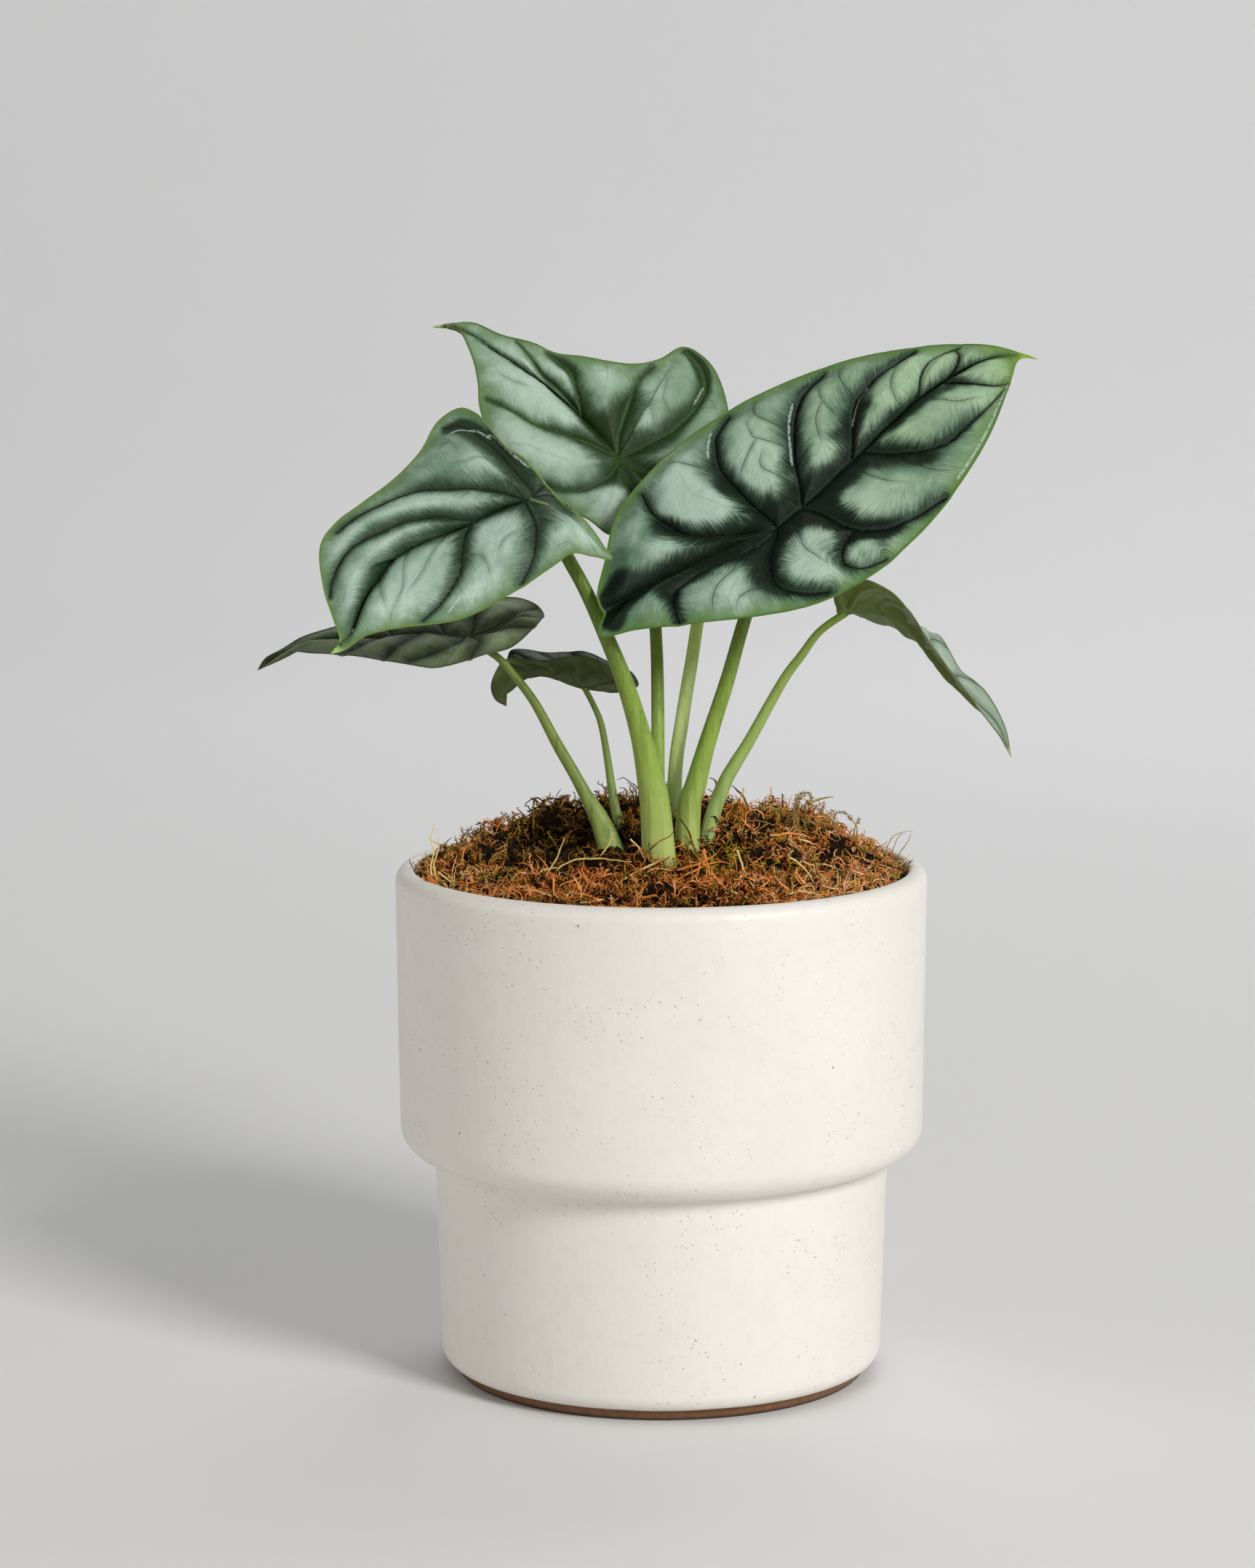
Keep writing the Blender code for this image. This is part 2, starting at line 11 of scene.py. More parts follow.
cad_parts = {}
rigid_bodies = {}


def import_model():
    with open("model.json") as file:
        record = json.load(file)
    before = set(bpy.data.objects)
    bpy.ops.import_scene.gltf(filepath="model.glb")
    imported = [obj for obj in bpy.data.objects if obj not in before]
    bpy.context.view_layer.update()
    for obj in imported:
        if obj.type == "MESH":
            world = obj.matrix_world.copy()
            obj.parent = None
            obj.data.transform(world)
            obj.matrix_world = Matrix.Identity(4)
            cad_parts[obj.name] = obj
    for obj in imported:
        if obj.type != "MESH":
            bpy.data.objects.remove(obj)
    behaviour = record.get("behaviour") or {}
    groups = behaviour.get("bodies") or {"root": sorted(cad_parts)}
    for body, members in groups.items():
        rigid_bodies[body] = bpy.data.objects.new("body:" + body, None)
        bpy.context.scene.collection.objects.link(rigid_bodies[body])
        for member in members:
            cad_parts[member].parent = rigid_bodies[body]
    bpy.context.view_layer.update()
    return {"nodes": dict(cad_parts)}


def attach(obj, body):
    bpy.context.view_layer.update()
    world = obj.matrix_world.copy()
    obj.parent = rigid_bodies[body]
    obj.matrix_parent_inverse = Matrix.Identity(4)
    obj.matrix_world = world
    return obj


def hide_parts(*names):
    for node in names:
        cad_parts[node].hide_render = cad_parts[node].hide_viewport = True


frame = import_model()


# Studio
# A pale paper sweep runs up all round the plant, so no horizon shows from any side. One large soft
# lamp stands at the right and a little above, and the rest is bounced light.

MM = 0.001
WELD = 0.002                  # millimetres between points that are made one
SWEEP_RADIUS = 3200.0
SWEEP_ROUND = 1500.0
SWEEP_HEIGHT = 2600.0
AIM = (0, 0, 0.14)            # metres, the middle of the plant


def node(tree, kind, inputs=None, **settings):
    """Add a shader or geometry node; an input is given a value or another node's output."""
    made = tree.nodes.new(kind)
    for key, value in settings.items():
        setattr(made, key, value)
    for key, value in (inputs or {}).items():
        if isinstance(value, bpy.types.NodeSocket):
            tree.links.new(value, made.inputs[key])
        else:
            made.inputs[key].default_value = value
    return made


def finish(name, roughness=0.5, **sockets):
    """A material, its nodes, its Principled shader and the places in the object's own axes. Constant
    values are set on the shader's own sockets."""
    material = bpy.data.materials.new(name)
    material.use_nodes = True
    tree = material.node_tree
    shader = tree.nodes["Principled BSDF"]
    shader.inputs["Roughness"].default_value = roughness
    for key, value in sockets.items():
        shader.inputs[key.replace("_", " ")].default_value = value
    return material, tree, shader, node(tree, "ShaderNodeTexCoord").outputs["Object"]


def maths(tree, operation, a, b=0.0, c=0.0):
    return node(tree, "ShaderNodeMath", {0: a, 1: b, 2: c}, operation=operation).outputs[0]


def times(tree, a, b):
    return maths(tree, "MULTIPLY", a, b)


def tint(tree, factor, first, second, share=1.0):
    """Mixes two colours, each a colour or a node's output, at most by the share given."""
    if share != 1.0:
        factor = times(tree, factor, share)
    pair = [c if isinstance(c, bpy.types.NodeSocket) else (*c, 1.0) for c in (first, second)]
    places = {0: factor, 6: pair[0], 7: pair[1]}            # 6 and 7 are the colours
    return node(tree, "ShaderNodeMix", places, data_type="RGBA").outputs[2]


def grain(tree, vector, scale, detail=2.0, roughness=0.5):
    """Noise from 0 to 1 at so many lumps a metre, or a unit of the vector given."""
    places = {"Vector": vector, "Scale": scale, "Detail": detail, "Roughness": roughness}
    return node(tree, "ShaderNodeTexNoise", places).outputs[0]


def paint(tree, shader, colour, roughness=None):
    """Joins a colour to the shader, and a roughness where one is given."""
    tree.links.new(colour, shader.inputs["Base Color"])
    if roughness is not None:
        tree.links.new(roughness, shader.inputs["Roughness"])


def solid(name, points, faces, material, sharp=None):
    """A smooth-shaded mesh object in metres, from points in millimetres. Edges over so many degrees
    are sharp."""
    mesh = bpy.data.meshes.new(name)
    mesh.from_pydata((np.asarray(points) * MM).tolist(), [], [list(face) for face in faces])
    mesh.materials.append(material)
    mesh.shade_smooth()
    if sharp:
        mesh.set_sharp_from_angle(angle=math.radians(sharp))
    thing = bpy.data.objects.new(name, mesh)
    bpy.context.scene.collection.objects.link(thing)
    return thing


def hoops(rings, sides):
    """Four-sided faces between rings of points that follow one another."""
    return [(i * sides + j, i * sides + (j + 1) % sides,
             (i + 1) * sides + (j + 1) % sides, (i + 1) * sides + j)
            for i in range(rings - 1) for j in range(sides)]


def outward(thing, weld=None):
    """Turns a mesh's faces outward, after points closer than the weld have been made one."""
    shape = bmesh.new()
    shape.from_mesh(thing.data)
    if weld:
        bmesh.ops.remove_doubles(shape, verts=shape.verts, dist=weld)
    bmesh.ops.recalc_face_normals(shape, faces=shape.faces)
    shape.to_mesh(thing.data)
    shape.free()


def turned(name, profile, steps, material, sharp=None):
    """A closed solid of revolution from (radius, height) points that run up inside and down outside."""
    angles = np.linspace(0, 2 * math.pi, steps, endpoint=False)
    points = [(r * math.cos(a), r * math.sin(a), z) for r, z in profile for a in angles]
    thing = solid(name, points, hoops(len(profile), steps), material, sharp)
    outward(thing, WELD * MM)
    return thing


sweep_finish, tree, shader, spot = finish("studio_paper", 0.9)
paint(tree, shader, tint(tree, grain(tree, spot, 2.0), (0.77, 0.77, 0.77), (0.79, 0.79, 0.79)))
profile = [(0.0, 0.0)]
for degrees in range(0, 91, 6):
    a = math.radians(degrees)
    profile.append((SWEEP_RADIUS - SWEEP_ROUND * (1 - math.sin(a)), SWEEP_ROUND * (1 - math.cos(a))))
profile.append((SWEEP_RADIUS, SWEEP_HEIGHT))
sweep = turned("studio_sweep", profile, 96, sweep_finish)
sweep.data.flip_normals()

camera = bpy.data.objects.new("camera", bpy.data.cameras.new("camera"))
camera.location = (-0.00896, -1.18743, 0.33023)
camera.rotation_euler = (math.radians(81.70), 0.0, 0.0)
camera.data.lens = 104.8
camera.data.sensor_width = 36.0
camera.data.clip_end = 30.0
bpy.context.scene.collection.objects.link(camera)
bpy.context.scene.camera = camera


def lamp(name, place, aim, size, power, colour, spread=180.0):
    """A square soft box at a place, turned to what it lights, with its beam so many degrees wide."""
    data = bpy.data.lights.new(name, "AREA")
    data.size = size
    data.spread = math.radians(spread)
    data.energy = power
    data.color = colour
    thing = bpy.data.objects.new(name, data)
    thing.location = place
    thing.rotation_euler = (Vector(aim) - Vector(place)).to_track_quat("-Z", "Y").to_euler()
    bpy.context.scene.collection.objects.link(thing)


lamp("key", (1.45, -1.75, 1.40), AIM, 0.7, 46.0, (1.0, 0.985, 0.96))
lamp("fill", (-1.6, -0.5, 0.75), AIM, 0.9, 3.6, (1.0, 0.92, 0.82))
lamp("background", (0.6, 1.5, 2.3), (0.3, 2.6, 0.2), 1.4, 16.0, (0.985, 0.99, 1.0))
lamp("low_background", (0.5, 1.7, 1.8), (0.25, 1.35, 0.0), 0.8, 0.95, (0.985, 0.99, 1.0), 75.0)
world = bpy.data.worlds.new("studio")
world.use_nodes = True
world.node_tree.nodes["Background"].inputs[0].default_value = (0.975, 0.985, 1.0, 1.0)
world.node_tree.nodes["Background"].inputs[1].default_value = 0.25
bpy.context.scene.world = world
bpy.context.scene.view_settings.view_transform = "Standard"


# Pot
# One thrown stoneware body in two drums. A matte cream glaze covers it, with the small pits and iron
# specks of the firing, and stops above a bare brown foot.

POT_HEIGHT = 135.5
POT_WALL = 4.8
POT_FLOOR = 8.0
FLOOR_RADIUS = 49.7
LIP_RADIUS = 65.2
LIP_ROUND = 1.2
DRUM_RADIUS = 70.0
DRUM_FOOT_RADIUS = 69.2
DRUM_ROUND = 3.6
DRUM_WALL = 65.0              # height of the straight wall of the upper drum
STEP_HEIGHT = 59.8
STEP_ROUND = 7.2
BASE_RADIUS = 60.0
BASE_FOOT_RADIUS = 58.5
BASE_ROUND = 2.0
BASE_WALL = 49.6              # height of the straight wall of the lower drum
BASE_FOOT_ROUND = 4.5
FOOT_RADIUS = 54.4
FOOT_HEIGHT = 3.1
POT_STEPS = 240


def arc(centre, radius, start, end, steps):
    """Points of a profile on part of a circle, angles in degrees."""
    angles = np.radians(np.linspace(start, end, steps + 1))
    return [(centre[0] + radius * math.cos(a), centre[1] + radius * math.sin(a)) for a in angles]


def wall(top, foot_radius, drop, steps):
    """Points of a profile down a straight wall from its top, a (radius, height) place."""
    return [(top[0] - t * (top[0] - foot_radius), top[1] - t * drop)
            for t in np.linspace(0.06, 0.96, steps)]


def plus(tree, a, b):
    return maths(tree, "ADD", a, b)


def ramp(tree, value, start, end, low=0.0, high=1.0):
    """Goes smoothly from low to high as the value goes from start to end."""
    places = {"Value": value, "From Min": start, "From Max": end, "To Min": low, "To Max": high}
    return node(tree, "ShaderNodeMapRange", places, interpolation_type="SMOOTHSTEP").outputs[0]


def relief(tree, shader, height, depth, strength=1.0):
    """Joins a height from 0 to 1 to the shader's normal, as a relief so many metres deep."""
    made = node(tree, "ShaderNodeBump", {"Height": height, "Distance": depth, "Strength": strength})
    tree.links.new(made.outputs[0], shader.inputs["Normal"])


def stretched(tree, spot, share):
    """Places squeezed to a share of their height, so that a pattern on them is drawn out upwards."""
    return node(tree, "ShaderNodeMapping", {"Vector": spot, "Scale": (1.0, 1.0, share)}).outputs[0]


def dots(tree, spot, scale, wide, narrow, clouds):
    """Round dots from 0 to 1, only where the clouds given are."""
    cells = node(tree, "ShaderNodeTexVoronoi", {"Vector": spot, "Scale": scale, "Randomness": 1.0})
    return times(tree, ramp(tree, cells.outputs["Distance"], wide, narrow), clouds)


profile = [(0.0, POT_FLOOR), (FLOOR_RADIUS, POT_FLOOR), (FLOOR_RADIUS + 4.0, POT_FLOOR + 4.0)]
profile += [(BASE_RADIUS - POT_WALL, STEP_HEIGHT - 1.0), (LIP_RADIUS - 0.6, STEP_HEIGHT + STEP_ROUND)]
profile += [(LIP_RADIUS - 0.2, 118.0), (LIP_RADIUS, POT_HEIGHT - LIP_ROUND)]
profile += arc((LIP_RADIUS + LIP_ROUND, POT_HEIGHT - LIP_ROUND), LIP_ROUND, 180, 90, 6)[1:]
profile += arc((DRUM_RADIUS - DRUM_ROUND, POT_HEIGHT - DRUM_ROUND), DRUM_ROUND, 90, 0, 12)[1:]
profile += wall((DRUM_RADIUS, POT_HEIGHT - DRUM_ROUND), DRUM_FOOT_RADIUS, DRUM_WALL, 16)
profile += arc((DRUM_FOOT_RADIUS - STEP_ROUND, STEP_HEIGHT + STEP_ROUND), STEP_ROUND, 0, -90, 14)
profile += arc((BASE_RADIUS + BASE_ROUND, STEP_HEIGHT - BASE_ROUND), BASE_ROUND, 90, 180, 6)[1:]
profile += wall((BASE_RADIUS, STEP_HEIGHT - BASE_ROUND), BASE_FOOT_RADIUS, BASE_WALL, 12)
profile += arc((BASE_FOOT_RADIUS - BASE_FOOT_ROUND, FOOT_HEIGHT + 4.0), BASE_FOOT_ROUND, 0, -62, 9)
profile += [(FOOT_RADIUS, FOOT_HEIGHT + 0.1), (FOOT_RADIUS, FOOT_HEIGHT - 0.3)]
profile += [(FOOT_RADIUS - 0.2, 0.6), (FOOT_RADIUS - 0.8, 0.0), (0.0, 0.0)]

glaze, tree, shader, spot = finish("cream_glaze", Specular_IOR_Level=0.45, Coat_Weight=0.12,
                                   Coat_Roughness=0.35)
height = node(tree, "ShaderNodeSeparateXYZ", {0: spot}).outputs["Z"]
mottle = grain(tree, spot, 260.0, 4.0, 0.65)
pit = dots(tree, spot, 560.0, 0.20, 0.08, ramp(tree, grain(tree, spot, 60.0, 3.0), 0.46, 0.62))
speck = dots(tree, spot, 240.0, 0.11, 0.05, ramp(tree, grain(tree, spot, 48.0, 1.0), 0.60, 0.66))
body = tint(tree, ramp(tree, grain(tree, spot, 22.0, 4.0, 0.6), 0.25, 0.75), (0.815, 0.785, 0.725),
            (0.85, 0.825, 0.775))
body = tint(tree, ramp(tree, mottle, 0.45, 0.75), body, (0.66, 0.61, 0.53), 0.16)
body = tint(tree, pit, body, (0.36, 0.30, 0.24), 0.42)
body = tint(tree, speck, body, (0.20, 0.14, 0.10), 0.65)
edge = plus(tree, height, times(tree, grain(tree, spot, 60.0, 3.0), 0.0012))
clay = tint(tree, grain(tree, spot, 500.0, 3.0), (0.13, 0.052, 0.018), (0.27, 0.125, 0.048))
# The bare foot darkens to near-black over its lowest 1.3 millimetres: painted shade where the foot meets the
# floor.
clay = tint(tree, ramp(tree, height, 0.0013, 0.0003, 0.0, 0.85), clay, (0.012, 0.006, 0.004))
paint(tree, shader, tint(tree, ramp(tree, edge, 0.0043, 0.0036), body, clay),
      maths(tree, "MULTIPLY_ADD", mottle, 0.25, 0.36))
skin = plus(tree, times(tree, grain(tree, stretched(tree, spot, 0.45), 700.0, 3.0), 0.5),
            times(tree, grain(tree, spot, 90.0), 0.9))
relief(tree, shader, maths(tree, "SUBTRACT", skin, plus(tree, pit, speck)), 0.00022, 0.6)

pot = turned("stoneware_pot", profile, POT_STEPS, glaze, sharp=60)
for vert in pot.data.vertices:              # a thrown wall wavers by about a tenth of a millimetre
    around = math.atan2(vert.co.y, vert.co.x)
    if vert.co.xy.length > 0.05:
        wobble = 0.00012 * math.sin(2 * around + 0.6) + 0.00008 * math.sin(3 * around + vert.co.z * 40)
        ribs = 0.00004 * noise.noise(Vector((0.0, 0.0, vert.co.z * 320)))
        vert.co.xy *= 1 + (wobble + ribs - 0.0001) / vert.co.xy.length
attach(pot, "root")
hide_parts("pot")


# Soil and corm
# The root ball is dark potting mix, and the corm that carries the stalks stands in it. Both keep
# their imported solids, because the moss hides nearly all of them.

potting_mix, tree, shader, spot = finish("potting_mix", 0.95)
crumb = grain(tree, spot, 900.0, 5.0, 0.7)
paint(tree, shader, tint(tree, crumb, (0.012, 0.008, 0.005), (0.11, 0.065, 0.035)))
relief(tree, shader, crumb, 0.0012)
corm_skin, tree, shader, spot = finish("corm_skin", 0.8)
rings = node(tree, "ShaderNodeTexWave", {"Vector": spot, "Scale": 60.0, "Distortion": 3.0, "Detail": 3.0},
             bands_direction="Z").outputs["Fac"]
paint(tree, shader, tint(tree, rings, (0.07, 0.035, 0.018), (0.26, 0.16, 0.08)))
relief(tree, shader, rings, 0.0006)
for name, material in (("soil", potting_mix), ("rhizome", corm_skin)):
    frame["nodes"][name].data.materials.clear()
    frame["nodes"][name].data.materials.append(material)


# Leaf blades
# Each blade is a living sheet about half a millimetre thick. The side veins are sunk between puffed
# silver cells, whose edges run into the near-black green of the veins in fine hair-like streaks.

BLADE = 0.55                  # thickness, away from the veins and the rim
CREASE = 2.6                  # millimetres from a vein over which its cells rise
CELL = 9.0                    # millimetres from a vein to the crown of its cells
FLAT_RIM = 7.0                # millimetres from the rim over which the cells die away
SHEET_WELD = 0.06             # millimetres between points of a bare blade that are made one
ROUTE_STEP = 0.004            # pitch of the points of a vein, in rulings
MARK_STEP = 0.01              # pitch of the points of a mark or a glint, in rulings
NO_GLINT = 9.0                # millimetres, for a blade that has none near


def smooth(points, at):
    """Points on the smooth curve through the control points; `at` counts control points from 0."""
    points = np.asarray(points, float)
    at = np.asarray(at, float)
    last = len(points) - 1
    first = np.clip(at.astype(int), 0, last - 1)
    f = (at - first)[..., None]
    a, b, c, d = (points[np.clip(first + k, 0, last)] for k in (-1, 0, 1, 2))
    return 0.5 * (2 * b + (c - a) * f + (2 * a - 5 * b + 4 * c - d) * f ** 2
                  + (3 * b - 3 * c + d - a) * f ** 3)


def ruled(leaf, ruling, reach):
    """Points of a bare blade: rulings run from the midrib to a rim, and a reach below 0 is the left."""
    ruling, reach = np.broadcast_arrays(np.asarray(ruling, float), np.asarray(reach, float))
    start = smooth(leaf["rib"], np.interp(ruling, range(len(leaf["rulings"])),
                                          [row[0] for row in leaf["rulings"]]))
    result = np.empty(ruling.shape + (3,))
    for side, rim, chosen in ((1, "left", reach < 0), (2, "right", reach >= 0)):
        known = [i for i, row in enumerate(leaf["rulings"]) if row[side] is not None]
        place = np.interp(ruling, known, [leaf["rulings"][i][side] for i in known])
        end = smooth(leaf[rim], place)
        line = start + (end - start) * np.abs(reach)[..., None]
        result[chosen] = line[chosen]
    return result


def steps_of(line):
    """Distances from each point of a line to the next."""
    return np.linalg.norm(np.diff(line, axis=0), axis=1)


def far_along(line):
    """How far along a line each of its points lies."""
    return np.concatenate([[0], np.cumsum(steps_of(line))])


def unit(vectors):
    """Vectors brought to a length of 1."""
    return vectors / np.maximum(np.linalg.norm(vectors, axis=-1, keepdims=True), 1e-9)


def evenly(route, pitch):
    """Points a pitch apart along a smooth curve through the route's points, and how far along each is."""
    dense = smooth(route, np.linspace(0, len(route) - 1, 40 * len(route)))
    far = far_along(dense)
    steps = np.linspace(0, far[-1], max(3, int(far[-1] / pitch)))
    return np.stack([np.interp(steps, far, dense[:, k]) for k in range(dense.shape[1])], axis=1), steps


def nearest(lines, points, normals):
    """For each point: signed distance to the nearest line, the same unsigned, the place along it, how
    far the point lies towards the next line (0 on a line, 1 half way), and its share of the line."""
    shift = 37.0                            # so that no two lines have the same places along them
    at_once = 3000                          # points handled together, to spare memory
    samples = np.concatenate(lines)
    starts = np.cumsum([0] + [len(line) for line in lines[:-1]])
    shares = np.concatenate([np.linspace(0, 1, len(line)) for line in lines])
    tangents = np.concatenate([np.gradient(line, axis=0) if len(line) > 1 else 0 * line
                               for line in lines])
    alongs = np.concatenate([far_along(line) + shift * number for number, line in enumerate(lines)])
    found, between = [], []
    for block in np.array_split(points, len(points) // at_once + 1):
        square = (block ** 2).sum(1)[:, None] + (samples ** 2).sum(1)[None] - 2 * block @ samples.T
        found.append(square.argmin(axis=1))
        each = np.sqrt(np.maximum(np.minimum.reduceat(square, starts, axis=1), 0))
        each.sort(axis=1)
        between.append(2 * each[:, 0] / (each[:, 0] + each[:, min(1, len(lines) - 1)] + 1e-6))
    found, between = np.concatenate(found), np.concatenate(between)
    across = points - samples[found]
    distance = np.linalg.norm(across, axis=1)
    tangent = unit(tangents[found])
    across = across - tangent * np.sum(across * tangent, axis=1, keepdims=True)
    sign = np.where(np.sum(np.cross(tangent, across) * normals, axis=1) < 0, -1.0, 1.0)
    return sign * distance, distance, alongs[found], between, shares[found]


def twigs(routes, seed):
    """Fine veins that leave each side vein on both sides and lean towards the rim."""
    draw = np.random.default_rng(seed)
    made = []
    for route in routes:
        route = np.asarray(route, float)
        for part in (0.35, 0.65):
            if draw.random() < 0.5:
                continue
            at = part * (len(route) - 1) + draw.uniform(-0.2, 0.2)
            g, s = smooth(route, at)
            turn = 1 if draw.random() < 0.5 else -1
            away = math.copysign(1.0, s) if abs(s) > 0.02 else 1.0
            turn *= draw.uniform(0.7, 1.2)
            made.append([(g + on * turn, s + out * away)
                         for on, out in ((0, 0), (0.16, 0.05), (0.34, 0.13), (0.46, 0.24))])
    return [[(g, float(np.clip(s, -0.97, 0.97))) for g, s in route] for route in made]


def write(mesh, name, values):
    """Stores a number or a vector for each point of a mesh, for its material to read."""
    values = np.asarray(values, np.float32)
    kind, key = ("FLOAT_VECTOR", "vector") if values.ndim == 2 else ("FLOAT", "value")
    mesh.attributes.new(name, kind, "POINT").data.foreach_set(key, values.ravel())


def sheet(leaf, pitch):
    """A bare blade: its points, normals, rulings, reaches and faces, and the edges of its rim."""
    trial = np.linspace(0, len(leaf["rulings"]) - 1, 400)
    longest = np.max([steps_of(ruled(leaf, trial, reach)) for reach in (-0.7, 0.0, 0.7)], axis=0)
    run = np.concatenate([[0], np.cumsum(longest)])
    rows = np.interp(np.linspace(0, run[-1], int(run[-1] / pitch)), run, trial)
    width = max(np.linalg.norm(ruled(leaf, trial, s) - ruled(leaf, trial, 0.0), axis=1).max()
                for s in (-1.0, 1.0))
    reaches = np.linspace(-1, 1, 2 * int(width / pitch) + 1)
    grid_g, grid_s = np.meshgrid(rows, reaches, indexing="ij")
    points = ruled(leaf, grid_g, grid_s).reshape(-1, 3)
    index = np.arange(points.shape[0]).reshape(grid_g.shape)
    corners = index[:-1, :-1], index[:-1, 1:], index[1:, 1:], index[1:, :-1]
    shape = bmesh.new()
    places = shape.verts.layers.float_vector.new("place")
    verts = [shape.verts.new(point) for point in points.tolist()]
    for vert, g, s in zip(verts, grid_g.ravel().tolist(), grid_s.ravel().tolist()):
        vert[places] = (g, s, 0.0)
    for quad in np.stack(corners, axis=-1).reshape(-1, 4).tolist():
        shape.faces.new([verts[i] for i in quad])
    bmesh.ops.remove_doubles(shape, verts=shape.verts, dist=SHEET_WELD)
    shape.normal_update()
    shape.verts.index_update()
    base = np.array([vert.co for vert in shape.verts])
    normals = np.array([vert.normal for vert in shape.verts])
    rulings, reaches = np.array([vert[places] for vert in shape.verts])[:, :2].T
    faces = [[vert.index for vert in face.verts] for face in shape.faces]
    rim_edges = [[loop.vert.index, loop.link_loop_next.vert.index] for edge in shape.edges
                 if edge.is_boundary for loop in edge.link_loops]
    shape.free()
    return base, normals, rulings, reaches, faces, rim_edges


def painted(leaf, base, normals):
    """How much lighter or darker the marks make each point, as the blade's own tone and as painted shade
    and light, and its distance to a glint, a painted highlight, also signed.
    """

    def near(route):
        way = evenly(route, MARK_STEP)[0] if len(route) > 1 else np.array(route, float)
        return nearest([ruled(leaf, *way.T)], base, normals)[:2]

    mark = np.zeros(len(base))
    for route, size, amount in leaf.get("marks", []):
        mark += amount * np.exp(-(near(route)[1] / size) ** 2)
    glint, glint_signed = np.full(len(base), NO_GLINT), np.full(len(base), NO_GLINT)
    for route in leaf.get("glints", []):
        signed, distance = near(route)
        glint_signed = np.where(distance < glint, signed, glint_signed)
        glint = np.minimum(glint, distance)
    return mark, glint, glint_signed


def swell(base, reach, vein, fine, inside, puff, arch):
    """How proud each point of the face stands: puffed cells between sunk veins, and slow ripples."""
    rise = (1 - np.exp(-vein / CREASE)) * (0.35 + 0.65 * inside)
    crest = np.clip(vein / CELL, 0, 1)
    lift = puff * (0.72 * rise + 0.5 * np.sin(0.5 * math.pi * crest) * inside)
    lift += arch * 4 * np.abs(reach) * (1 - np.abs(reach)) * inside
    lift -= 0.28 * np.exp(-(vein / 0.55) ** 2)
    lift -= 0.22 * puff / 2.4 * np.exp(-(fine / 0.7) ** 2) * inside
    ripple = np.array([noise.noise(Vector(p) * 0.16) + 0.5 * noise.noise(Vector(p) * 0.45) for p in base])
    return lift + 0.30 * ripple * (0.4 + inside)


def normals_of(points, faces):
    """Normals of a mesh at its points."""
    mesh = bpy.data.meshes.new("trial")
    mesh.from_pydata(points.tolist(), [], faces)
    normals = np.empty(len(points) * 3, np.float32)
    mesh.vertex_normals.foreach_get("vector", normals)
    bpy.data.meshes.remove(mesh)
    return normals.reshape(-1, 3)


def thinned(top, normals, thick):
    """Thicknesses made less where a fold would push one face of the blade through the other."""
    tree = kdtree.KDTree(len(top))
    for i, place in enumerate(top.tolist()):
        tree.insert(place, i)
    tree.balance()
    for _ in range(5):
        under = top - normals * thick[:, None]
        clear = np.array([tree.find(place)[2] for place in under.tolist()])
        thick = np.where(clear < 0.85 * thick, 0.6 * thick, thick)
    return thick


